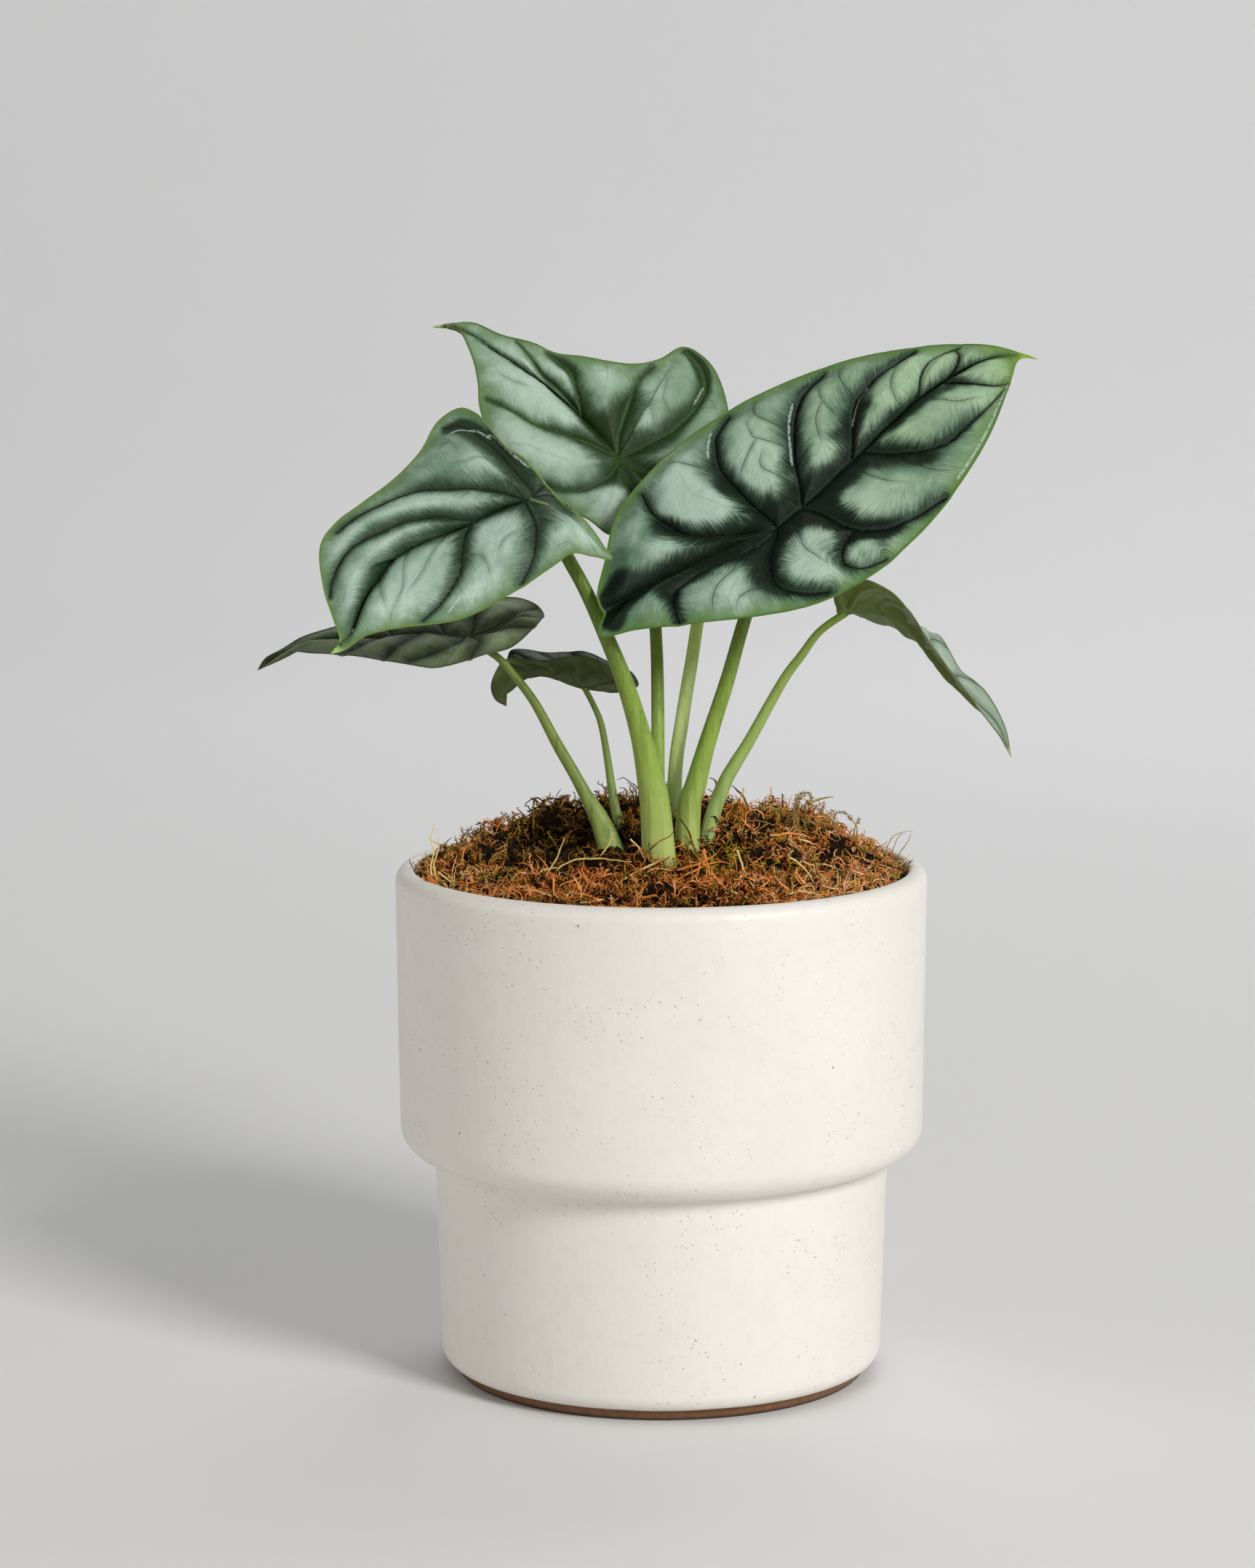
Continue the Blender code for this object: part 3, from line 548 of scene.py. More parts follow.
def blade(name, node_name, leaf, material, pitch, puff, arch, band, ribs, seed):
    """One blade as a closed thin solid; returns its heart, where the stalk meets it, and the normal.
    Puff and arch are the heights of its cells and of its halves, band is the width of the dark vein
    beds and ribs is how far the midrib stands out below; a seed draws more fine veins."""
    base, normals, g, s, faces, rim_edges = sheet(leaf, pitch)
    total = len(base)
    last = len(leaf["rulings"]) - 1
    middle = ruled(leaf, np.linspace(0, last, 1200), 0.0)
    middle = middle[np.concatenate([[True], steps_of(middle) > 1e-6])]
    veins = [middle] + [ruled(leaf, *evenly(route, ROUTE_STEP)[0].T) for route in leaf["veins"]]
    fines = [ruled(leaf, *evenly(route, ROUTE_STEP)[0].T)
             for route in leaf["fine"] + (twigs(leaf["veins"], seed) if seed else [])]
    rims = [ruled(leaf, np.linspace(0, last, 1500), reach) for reach in (-1.0, 1.0)]
    signed, vein, along, between, _ = nearest(veins, base, normals)
    fine_signed, fine, _, _, fine_share = nearest(fines, base, normals)
    rib, rib_along = nearest([middle], base, normals)[1:3]
    rim = nearest(rims, base, normals)[1]
    mark, glint, glint_signed = painted(leaf, base, normals)
    share = rib_along / rib_along.max()
    heart = ruled(leaf, np.interp(leaf["heart"], [row[0] for row in leaf["rulings"]], range(last + 1)), 0.0)
    from_heart = np.linalg.norm(base - heart, axis=1)

    inside = np.clip(rim / FLAT_RIM, 0, 1)
    inside = inside * inside * (3 - 2 * inside)
    half = np.linalg.norm(ruled(leaf, g, np.where(s < 0, -1.0, 1.0)) - ruled(leaf, g, 0.0 * g), axis=1)
    lift = swell(base, s, vein, fine, inside, puff, arch) * np.clip(half / CELL, 0, 1) ** 1.5
    top = base + normals * lift[:, None]
    up = normals_of(top, faces)
    taper = np.clip(1.15 - share, 0.12, 1.0)
    thick = BLADE * (0.45 + 0.55 * np.clip(rim / 1.5, 0, 1))
    thick += ribs * taper * np.exp(-(rib / (1.1 * taper + 0.3)) ** 2)
    thick += 0.45 * ribs * np.exp(-(vein / 0.8) ** 2) * (1 - 0.7 * np.abs(s))
    thick += 0.12 * np.exp(-(fine / 0.5) ** 2)
    thick = thinned(top, up, thick * (0.35 + 0.65 * np.clip(half / 5.0, 0, 1)))
    closed = faces + [[i + total for i in reversed(face)] for face in faces]
    closed += [[b, a, a + total, b + total] for a, b in rim_edges]
    thing = solid(name, np.concatenate([top, top - up * thick[:, None]]), closed, material, sharp=55)

    bed = vein / (band * (0.40 + 1.35 * np.exp(-(from_heart / 17.0) ** 1.5) + 0.45 * (1 - np.abs(s))))
    tip = np.clip((share - 0.88) / 0.12, 0, 1)
    fine_fade = np.clip(4 * np.minimum(fine_share + 0.12, 1 - fine_share), 0, 1)
    for layer, columns in (("vein", (signed, vein, along)), ("fine", (fine_signed, fine, fine_fade)),
                           ("place", (rim, between, glint)), ("mark", (mark, glint_signed, share))):
        write(thing.data, layer, np.tile(np.stack(columns, axis=1), (2, 1)))
    upper = np.repeat([1.0, 0.0], total)
    write(thing.data, "bed", np.stack([np.tile(bed, 2), np.tile(tip, 2), upper], axis=1))
    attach(thing, "root")
    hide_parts(node_name)
    close = int(np.argmin(from_heart))
    return top[close], up[close]


def toned(colour, gain):
    """A colour made lighter or darker."""
    return tuple(gain * c for c in colour)


def stirred(tree, value, noisy, share):
    """A value with a share of a noise from 0 to 1 added, as much downwards as upwards."""
    return plus(tree, value, maths(tree, "MULTIPLY_ADD", noisy, share, -0.5 * share))


def line_of(tree, signed, wide, narrow):
    """A line from 0 to 1 where a signed distance is near 0."""
    return ramp(tree, maths(tree, "ABSOLUTE", signed), wide, narrow)


def leaf_finish(name, silver, shade, green, deep, dark, line, edge, tip, back, back_vein, hairs,
                contrast=1.0, fray=1.0, shine=0.3, silver_far=None):
    """Leaf skin: silver cells, streaked dark vein beds, a green margin and a dull underside, with painted
    shade and highlights.
    """
    material, tree, shader, spot = finish(name, 0.42, Specular_IOR_Level=shine)

    def read(layer):
        values = node(tree, "ShaderNodeAttribute", attribute_name=layer)
        return node(tree, "ShaderNodeSeparateXYZ", {0: values.outputs["Vector"]}).outputs

    signed, vein, along = read("vein")
    fine_signed, fine, fine_fade = read("fine")
    rim, between, glint = read("place")
    bed, tip_share, upper = read("bed")
    mark, glint_signed, share = read("mark")
    # Marks darken and lighten the blade: partly its own tone, partly painted shade of its folds and creases
    # and painted highlights on its cells.
    dark_tone_and_shade = maths(tree, "MAXIMUM", times(tree, mark, -1.0), 0.0)
    pale_tone_and_light = maths(tree, "MAXIMUM", mark, 0.0)
    lean = maths(tree, "MULTIPLY_ADD", vein, -0.9, along)

    def combed(across, away, detail):
        """Noise drawn out into hairs that leave the veins at a slant."""
        flow = node(tree, "ShaderNodeCombineXYZ", {
            0: times(tree, lean, across), 1: times(tree, vein, away), 2: maths(tree, "SIGN", signed)})
        return grain(tree, flow.outputs[0], 1.0, detail, 0.6)

    streak = combed(1.7, 0.16, 3.0)
    comb = combed(4.6, 0.30, 2.0)
    patch = grain(tree, spot, 190.0, 3.0, 0.6)
    dust = grain(tree, spot, 2600.0, 3.0, 0.7)
    frost = grain(tree, spot, 4200.0, 2.0, 0.6)

    # Each cell goes from the shade colour by its veins to silver in its middle: the leaf's own pale middles,
    # with painted shade where the puffed cell curves down to its veins.
    open_cell = stirred(tree, between, patch, 0.7)
    open_cell = plus(tree, open_cell, times(tree, maths(tree, "SUBTRACT", pale_tone_and_light, dark_tone_and_shade), 0.6))
    bright = tint(tree, ramp(tree, share, 0.2, 0.75), silver, silver_far or silver)
    skin = tint(tree, ramp(tree, open_cell, 0.10, 1.10), shade, bright)
    skin = tint(tree, ramp(tree, dust, 0.45, 0.72), skin, shade, 0.30)
    hairy = times(tree, ramp(tree, comb, 0.50, 0.28), ramp(tree, vein, 9.0, 2.0, 0.35, 1.0))
    skin = tint(tree, hairy, skin, deep, 0.42 * fray + 0.12)
    skin = tint(tree, ramp(tree, comb, 0.52, 0.78), skin, toned(silver, 1.12), 0.38 * fray + 0.1)
    margin = plus(tree, times(tree, rim, 0.16), times(tree, patch, 1.1))
    skin = tint(tree, ramp(tree, margin, 1.5, 0.5), skin, green, 0.85)

    frayed = bed
    for noisy, amount in ((streak, 1.5 * fray), (comb, 0.9 * fray), (dust, 0.7), (patch, 0.8)):
        frayed = stirred(tree, frayed, noisy, amount)
    frayed = maths(tree, "SUBTRACT", frayed, times(tree, dark_tone_and_shade, 1.15))
    frayed = plus(tree, frayed, times(tree, pale_tone_and_light, 0.8))
    skin = tint(tree, ramp(tree, frayed, 1.75, 0.35), skin, deep, contrast)
    bedded = times(tree, ramp(tree, frayed, 0.95, -0.05), contrast)
    skin = tint(tree, bedded, skin, dark)
    skin = tint(tree, times(tree, ramp(tree, frost, 0.58, 0.74), bedded), skin, shade, 0.30)

    near_vein = ramp(tree, vein, 1.2, 0.8)
    # A thin paler strip on one side of each vein: a painted highlight on the lit wall of its crease.
    vein_side_highlight = times(tree, ramp(tree, signed, 0.15, 0.45), ramp(tree, signed, 1.0, 0.55))
    skin = tint(tree, times(tree, vein_side_highlight, near_vein), skin, shade, 0.12)
    skin = tint(tree, times(tree, line_of(tree, signed, 0.45, 0.15), near_vein), skin, line, 0.85)
    halo = ramp(tree, plus(tree, fine, times(tree, dust, 1.4)), 2.4, 0.5)
    skin = tint(tree, times(tree, halo, fine_fade), skin, deep, 0.32)
    hair = times(tree, ramp(tree, fine, 0.9, 0.6), fine_fade)
    skin = tint(tree, times(tree, line_of(tree, fine_signed, 0.26, 0.05), hair), skin, dark, hairs)
    skin = tint(tree, ramp(tree, rim, 0.75, 0.30), skin, edge)
    skin = tint(tree, tip_share, skin, tip, 0.6)
    # Glints: thin near-white streaks painted on the cells, painted highlights where the steep cell walls
    # catch the lamp.
    painted_glint = times(tree, line_of(tree, glint_signed, 0.42, 0.20), ramp(tree, glint, 0.9, 0.6))
    painted_glint = times(tree, painted_glint, ramp(tree, grain(tree, spot, 1300.0), 0.34, 0.52))
    skin = tint(tree, painted_glint, skin, (0.50, 0.60, 0.54), 0.62)

    belly = tint(tree, ramp(tree, patch, 0.3, 0.7), back, toned(back, 0.78))
    belly = tint(tree, ramp(tree, vein, 1.4, 0.3), belly, back_vein, 0.45)
    belly = tint(tree, ramp(tree, fine, 0.8, 0.2), belly, back_vein, 0.2)
    skin = tint(tree, upper, belly, skin)
    skin = tint(tree, ramp(tree, share, 0.95, 0.98), skin, toned(tip, 1.5))
    gloss = plus(tree, maths(tree, "MULTIPLY_ADD", bedded, 0.06, 0.34), times(tree, dust, 0.14))
    paint(tree, shader, skin, gloss)
    fuzz = maths(tree, "MULTIPLY_ADD", streak, 0.5, times(tree, comb, 0.5))
    relief(tree, shader, maths(tree, "MULTIPLY_ADD", dust, 0.35, fuzz), 0.00028, 0.6)
    return material


def plain_veins(cells):
    """Side veins for a blade whose face hardly shows: each bows back, then hooks towards the tip."""
    return [[(i, 0.0), (i - 0.18, 0.35 * side), (i - 0.12, 0.7 * side), (i + 0.12, 0.93 * side)]
            for i in range(1, cells) for side in (-1, 1)]


# In each leaf's tables, rib, left and right are points of the midrib and of the two rims, and a row
# of rulings names the places on those three that a straight line across the blade joins; the heart is
# a place on the rib. Veins, fine veins, marks and glints run through (ruling, reach) places. A mark
# also has a size in millimetres and an amount, below 0 where it darkens the blade. Marks paint the
# blade's own lighter and darker patches together with painted shade of its folds and creases and
# painted highlights on its cells; glints are painted highlights in thin bright streaks.

front_right = {
    "rib": [(-15, -17, 204), (-1, -11, 210), (14, -8, 217), (30, -7, 225), (49, 1, 241), (67, 10, 257),
            (84, 13, 267), (93.6, 11.8, 268.8), (98, 9, 268)],
    "left": [(-15, -17, 204), (-17, -16, 208), (-15, -8, 216), (-12, 2, 227), (-5, 9, 236),
             (5, 15, 245), (17, 20, 253), (29, 22, 259), (44, 23, 265), (60, 22, 269), (75, 19, 271),
             (87, 14, 271), (93.8, 12, 269.5), (98, 9, 268)],
    "right": [(-15, -17, 204), (-16, -22, 198), (-6, -23, 200), (9, -25, 202), (26, -26, 204),
              (39, -26, 207), (52, -23, 213), (65, -18, 223), (76, -10, 235), (85, -1, 248),
              (91.2, 8, 262), (93.5, 11, 267.6), (98, 9, 268)],
    "rulings": [(0, 0, 0), (3, 4.0, 2.7), (3, 6.0, 5.3), (3.33, 7.9, 7.8), (4.0, 9.2, 9.2),
                (5.0, 10.3, None), (5.65, 11.0, 10.2), (8, 13, 12)],
    "heart": 3,
    "veins": [
        [(0.94, -0.06), (0.88, -0.14), (0.8, -0.28), (0.76, -0.42), (0.78, -0.58), (0.83, -0.76),
         (0.92, -0.92)],
        [(1.5, -0.02), (1.47, -0.18), (1.52, -0.44), (1.58, -0.62), (1.7, -0.76), (1.8, -0.86),
         (2.0, -0.95)],
        [(3.02, -0.02), (2.9, -0.16), (2.78, -0.34), (2.76, -0.54), (2.78, -0.7), (2.84, -0.82),
         (3.04, -0.95)],
        [(4.02, 0.0), (3.88, -0.18), (3.72, -0.4), (3.64, -0.58), (3.74, -0.68), (3.88, -0.78),
         (4.24, -0.95)],
        [(4.95, 0.0), (4.86, -0.24), (4.68, -0.54), (4.66, -0.72), (4.76, -0.84), (5.0, -0.93)],
        [(5.68, 0.0), (5.6, -0.36), (5.3, -0.7), (5.0, -0.88)],
        [(1.22, 0.1), (1.0, 0.26), (0.86, 0.28), (0.74, 0.32), (0.72, 0.54), (0.82, 0.74), (0.98, 0.96)],
        [(1.66, 0.02), (1.46, 0.26), (1.5, 0.48), (1.58, 0.68), (1.74, 0.8), (2.02, 0.92)],
        [(2.98, 0.0), (2.7, 0.3), (2.62, 0.52), (2.68, 0.72), (2.78, 0.82), (3.04, 0.96)],
        [(4.16, 0.02), (3.88, 0.38), (3.82, 0.6), (3.94, 0.74), (4.5, 0.84), (5.3, 0.95)],
        [(5.54, 0.05), (5.4, 0.5), (5.38, 0.75), (5.5, 0.95)],
        [(2.62, 0.54), (2.46, 0.58), (2.34, 0.66), (2.28, 0.76), (2.34, 0.88), (2.48, 0.95)],
    ],
    "fine": [
        [(2.34, -0.94), (2.3, -0.82), (2.42, -0.72), (2.72, -0.58)],
        [(2.16, -0.78), (2.18, -0.68), (2.24, -0.62), (2.74, -0.44)],
        [(2.24, -0.62), (2.0, -0.54), (1.64, -0.44)],
        [(2.24, -0.5), (2.2, -0.38), (2.86, -0.16)],
        [(3.26, -0.92), (3.34, -0.8), (3.52, -0.68), (3.7, -0.62)],
        [(3.02, -0.82), (3.14, -0.68), (3.46, -0.48)],
        [(3.14, -0.68), (3.1, -0.54), (3.26, -0.34)],
        [(4.12, -0.78), (4.24, -0.54), (4.7, -0.1)],
        [(2.26, 0.1), (2.1, 0.38), (2.08, 0.5), (2.12, 0.64), (2.16, 0.78)],
        [(3.64, 0.16), (3.4, 0.34), (3.24, 0.52), (3.2, 0.68)],
        [(3.74, 0.5), (3.44, 0.68), (3.36, 0.82), (3.42, 0.94)],
        [(4.9, 0.18), (4.78, 0.38), (4.72, 0.6), (4.88, 0.8)],
        [(1.14, 0.52), (1.1, 0.68), (1.14, 0.84), (1.2, 0.95)],
        [(1.7, 0.82), (1.48, 0.76), (1.32, 0.82), (1.32, 0.94)],
        [(1.24, -0.92), (1.32, -0.76), (1.48, -0.58)],
    ],
    "marks": [
        ([(1.0, 0.0), (0.1, 0.0)], 4.6, -1.1), ([(0.2, -0.95), (0.06, -0.4), (0.3, 0.9)], 4.0, -0.9),
        ([(0.5, -0.06), (0.95, -0.16)], 2.2, 0.5), ([(1.3, -0.8), (1.6, -0.6), (1.75, -0.35)], 3.0, -0.3),
        ([(2.56, -0.7), (2.6, -0.46), (2.66, -0.26)], 2.6, -0.35), ([(2.3, 0.06), (3.2, 0.06)], 4.6, -0.8),
        ([(2.75, 0.15), (2.66, 0.42)], 3.4, -0.8), ([(4.0, 0.1), (3.8, 0.4), (3.74, 0.56)], 2.6, -0.3),
        ([(3.4, -0.06), (4.3, 0.0)], 3.2, -0.4), ([(1.4, 0.26), (1.34, 0.56), (1.5, 0.76)], 3.6, -0.9),
        ([(1.0, 0.1), (0.9, 0.24)], 3.0, -0.7), ([(0.88, 0.5)], 4.5, -0.5),
        ([(3.72, 0.2), (3.52, 0.42), (3.44, 0.74)], 3.8, -1.3), ([(3.58, 0.1)], 3.4, -0.8),
        ([(2.36, 0.72), (2.36, 0.9), (2.5, 0.96)], 2.4, 0.8), ([(2.56, 0.64), (2.7, 0.82)], 3.0, -1.0),
        ([(0.5, -0.88), (0.34, -0.82)], 4.0, -1.4), ([(0.74, -0.58), (0.42, -0.74)], 4.0, -0.8),
        ([(0.68, -0.84)], 3.5, 0.6), ([(0.48, 0.9), (0.72, 0.97)], 3.0, -0.9),
        ([(0.36, 0.46), (0.44, 0.88)], 4.5, -0.9), ([(0.56, 0.94), (0.56, 0.6), (0.84, 0.46)], 3.4, -0.6),
        ([(4.48, 0.12), (4.68, 0.08), (5.02, 0.34)], 2.6, -0.9), ([(1.32, -0.62), (1.28, -0.42)], 3.4, -0.8),
        ([(2.32, -0.8), (2.36, -0.9)], 3.2, -0.8), ([(3.24, -0.42), (3.36, -0.86)], 2.6, -0.7),
        ([(3.96, -0.48)], 2.6, -0.8),
        ([(4.46, -0.36), (4.78, -0.78)], 5.0, 0.9), ([(5.12, -0.6), (4.76, -0.48)], 4.5, 0.6),
        ([(5.06, 0.78), (6.4, 0.4)], 5.5, 1.0), ([(4.28, -0.2), (3.5, -0.18)], 3.4, 0.5),
        ([(1.86, -0.56), (2.0, -0.44), (2.4, -0.46)], 4.6, 0.9), ([(0.86, -0.66), (0.94, -0.34)], 3.2, 0.9),
        ([(0.5, 0.22), (0.72, 0.3)], 2.4, 0.6), ([(2.96, 0.32)], 3.2, 0.3),
        ([(1.88, 0.66), (2.04, 0.8)], 3.0, 0.7),
        ([(0.98, -0.78), (1.02, -0.56)], 8.0, 0.7), ([(2.08, -0.8), (2.14, -0.56)], 6.5, 0.4),
        ([(3.08, -0.7), (3.16, -0.5)], 5.0, 0.4), ([(1.95, 0.42), (2.2, 0.56)], 6.0, 0.25),
        ([(2.9, 0.8), (2.5, 0.9)], 3.5, 0.3), ([(1.92, -0.4), (2.1, -0.3)], 3.6, 0.6),
        ([(4.1, 0.88), (5.1, 0.95)], 3.0, 0.7), ([(4.66, -0.92), (5.9, -0.78)], 2.5, 0.8),
        ([(3.08, 0.2), (3.34, 0.26)], 3.0, -0.8), ([(2.38, 0.18)], 3.0, -0.6), ([(2.64, -0.24)], 3.0, 0.5),
        ([(3.56, 0.64), (3.5, 0.88)], 3.4, -0.8), ([(1.9, -0.36)], 4.0, 0.5), ([(2.86, -0.24)], 2.6, 0.4),
        ([(3.84, 0.58)], 2.6, 0.5), ([(2.38, 0.52)], 2.4, 0.4), ([(0.86, -0.64)], 2.6, 0.5),
        ([(3.02, -0.96)], 2.4, 0.6), ([(3.56, -0.28), (3.96, -0.42)], 3.2, -0.7),
        ([(4.6, 0.26)], 3.0, -0.5), ([(3.22, 0.36)], 3.0, -0.5), ([(2.6, 0.82)], 3.0, -1.0),
        ([(2.48, 0.14)], 3.0, -0.4), ([(1.26, -0.48)], 3.0, -0.4), ([(0.68, -0.6)], 3.0, -0.5),
        ([(0.4, -0.88)], 3.0, -0.8), ([(0.58, 0.96)], 2.6, -0.9),
    ],
    "glints": [
        [(1.76, -0.9), (1.56, -0.74)], [(2.74, -0.78), (2.7, -0.64), (2.7, -0.5), (2.72, -0.34)],
        [(5.4, 0.97), (4.6, 0.965), (3.94, 0.965), (3.3, 0.96)],
        [(3.76, -0.68), (3.7, -0.56), (3.72, -0.4)],
    ],
}
bright_leaf = leaf_finish(
    "silver_leaf_bright", silver=(0.45, 0.60, 0.50), silver_far=(0.34, 0.49, 0.30),
    shade=(0.12, 0.215, 0.135), green=(0.10, 0.20, 0.045), deep=(0.030, 0.062, 0.036),
    dark=(0.0035, 0.010, 0.0045), line=(0.002, 0.004, 0.002), edge=(0.10, 0.20, 0.04),
    tip=(0.22, 0.36, 0.06), back=(0.16, 0.23, 0.10), back_vein=(0.08, 0.13, 0.05), shine=0.16, hairs=0.6)
meeting_front_right = blade("blade_front_right", "leaf_front_right", front_right, bright_leaf,
                            pitch=0.62, puff=3.0, arch=1.5, band=3.9, ribs=1.3, seed=0)

back = {
    "rib": [(-1, 19, 234), (-6, 21, 237), (-11, 24, 241), (-21, 30, 251), (-31, 35, 259),
            (-43, 37, 267), (-51, 39, 273), (-56, 39, 275), (-61, 37, 275)],
    "left": [(-1, 19, 234), (-3, 11, 226), (-8, 6, 222), (-14, 6, 222), (-20, 9, 226), (-29, 12, 229),
             (-37, 15, 234), (-44, 19, 243), (-48, 25, 253), (-49, 30, 261), (-51, 35, 268),
             (-55, 39, 275), (-61, 37, 275)],
    "right": [(-1, 19, 234), (5, 20, 233), (13, 27, 239), (18, 34, 247), (17, 41, 257), (13, 47, 265),
              (6, 50, 269), (-1, 43, 266), (-9, 39, 265), (-21, 38, 267), (-28, 38, 268),
              (-35, 38, 271), (-43, 39, 273), (-50, 40, 276), (-56, 39, 276), (-61, 37, 275)],
    "rulings": [(0, 0, 0), (2, 2.5, 2.4), (2, 6.0, 4.6), (2.1, 8.1, 7.2), (3, 9.6, 10.3),
                (4, 10.4, 11.5), (8, 12, 15)],
    "heart": 2,
    "veins": [
        [(2.4, -0.02), (2.9, -0.06), (3.04, -0.28), (3.02, -0.58), (3.18, -0.76), (3.26, -0.94)],
        [(1.3, -0.04), (1.34, -0.2), (1.46, -0.42), (1.6, -0.62), (1.8, -0.76), (2.1, -0.92)],
        [(1.2, -0.04), (0.84, -0.26), (0.66, -0.5), (0.6, -0.9)],
        [(4.0, 0.03), (4.36, 0.24), (4.76, 0.34), (4.86, 0.62), (5.02, 0.9)],
        [(3.98, 0.02), (3.85, 0.3), (3.8, 0.54), (3.82, 0.76), (4.12, 0.94)],
        [(3.0, 0.02), (3.1, 0.16), (3.12, 0.48), (3.08, 0.8), (2.96, 0.94)],
        [(1.5, 0.02), (1.48, 0.2), (1.56, 0.44), (1.68, 0.64), (1.84, 0.8), (2.0, 0.88), (2.44, 0.96)],
        [(0.96, 0.02), (0.6, 0.1), (0.52, 0.4), (0.6, 0.9)],
    ],
    "fine": [
        [(3.92, -0.8), (3.84, -0.68), (3.9, -0.5)],
        [(3.06, 0.6), (2.8, 0.62), (2.48, 0.7)],
        [(2.48, 0.7), (2.2, 0.5), (1.7, 0.5)],
        [(2.72, 0.5), (2.16, 0.36), (1.7, 0.34)],
        [(2.1, 0.76), (1.72, 0.86), (1.52, 0.92)],
        [(1.46, 0.46), (1.68, 0.6), (1.68, 0.76), (1.54, 0.94)],
    ],
    "marks": [
        ([(0.84, 0.12), (1.18, 0.28), (1.36, 0.44)], 5.5, -0.7), ([(1.95, -0.24), (1.9, -0.46)], 3.0, -0.4),
        ([(3.04, 0.1), (3.0, 0.5)], 3.6, -0.3), ([(3.6, 0.95), (3.8, 1.0)], 4.0, -0.8),
        ([(2.7, 0.95), (2.1, 0.95)], 3.5, -0.7), ([(1.6, 0.03), (4.2, 0.03)], 3.0, -0.35),
        ([(3.42, 0.52), (3.3, 0.26)], 4.5, -0.8), ([(2.12, 0.78), (2.3, 0.62)], 5.0, -0.5),
        ([(4.76, 0.66), (3.86, 0.54)], 4.0, 0.6), ([(1.86, -0.64)], 3.0, 0.4), ([(1.3, -0.08)], 3.0, 0.4),
        ([(5.5, 0.58), (5.04, 0.84)], 4.5, 0.8), ([(0.86, 0.14)], 3.0, 0.5), ([(1.6, 0.36)], 3.0, 0.3),
        ([(3.66, 0.66), (3.96, 0.74)], 3.6, -0.6), ([(2.26, 0.78), (1.94, 0.56), (2.32, 0.44)], 4.4, -0.7),
        ([(2.8, -0.56), (2.86, -0.74)], 8.0, 0.5), ([(3.4, -0.5), (4.2, -0.5)], 6.0, 0.4),
        ([(1.3, -0.74)], 8.0, 0.3), ([(0.96, 0.0)], 2.6, 0.6), ([(2.98, 0.7)], 3.4, 0.6),
        ([(1.82, 0.9), (2.24, 0.94)], 3.6, -0.6), ([(1.1, -0.38)], 3.0, -0.6),
        ([(2.78, -0.48), (3.56, -0.46)], 3.0, -0.4),
    ],
    "glints": [[(1.94, 0.84), (1.82, 0.72)]],
}
soft_leaf = leaf_finish(
    "silver_leaf_soft", silver=(0.46, 0.60, 0.485), shade=(0.21, 0.33, 0.215), green=(0.10, 0.19, 0.06),
    deep=(0.065, 0.12, 0.06), dark=(0.014, 0.038, 0.007), line=(0.045, 0.09, 0.02),
    edge=(0.10, 0.17, 0.05), tip=(0.24, 0.34, 0.11), back=(0.17, 0.24, 0.12),
    back_vein=(0.09, 0.14, 0.06), fray=0.45, shine=0.2, hairs=0.25)
meeting_back = blade("blade_back", "leaf_back", back, soft_leaf,
                     pitch=0.62, puff=2.2, arch=1.0, band=2.2, ribs=1.1, seed=0)

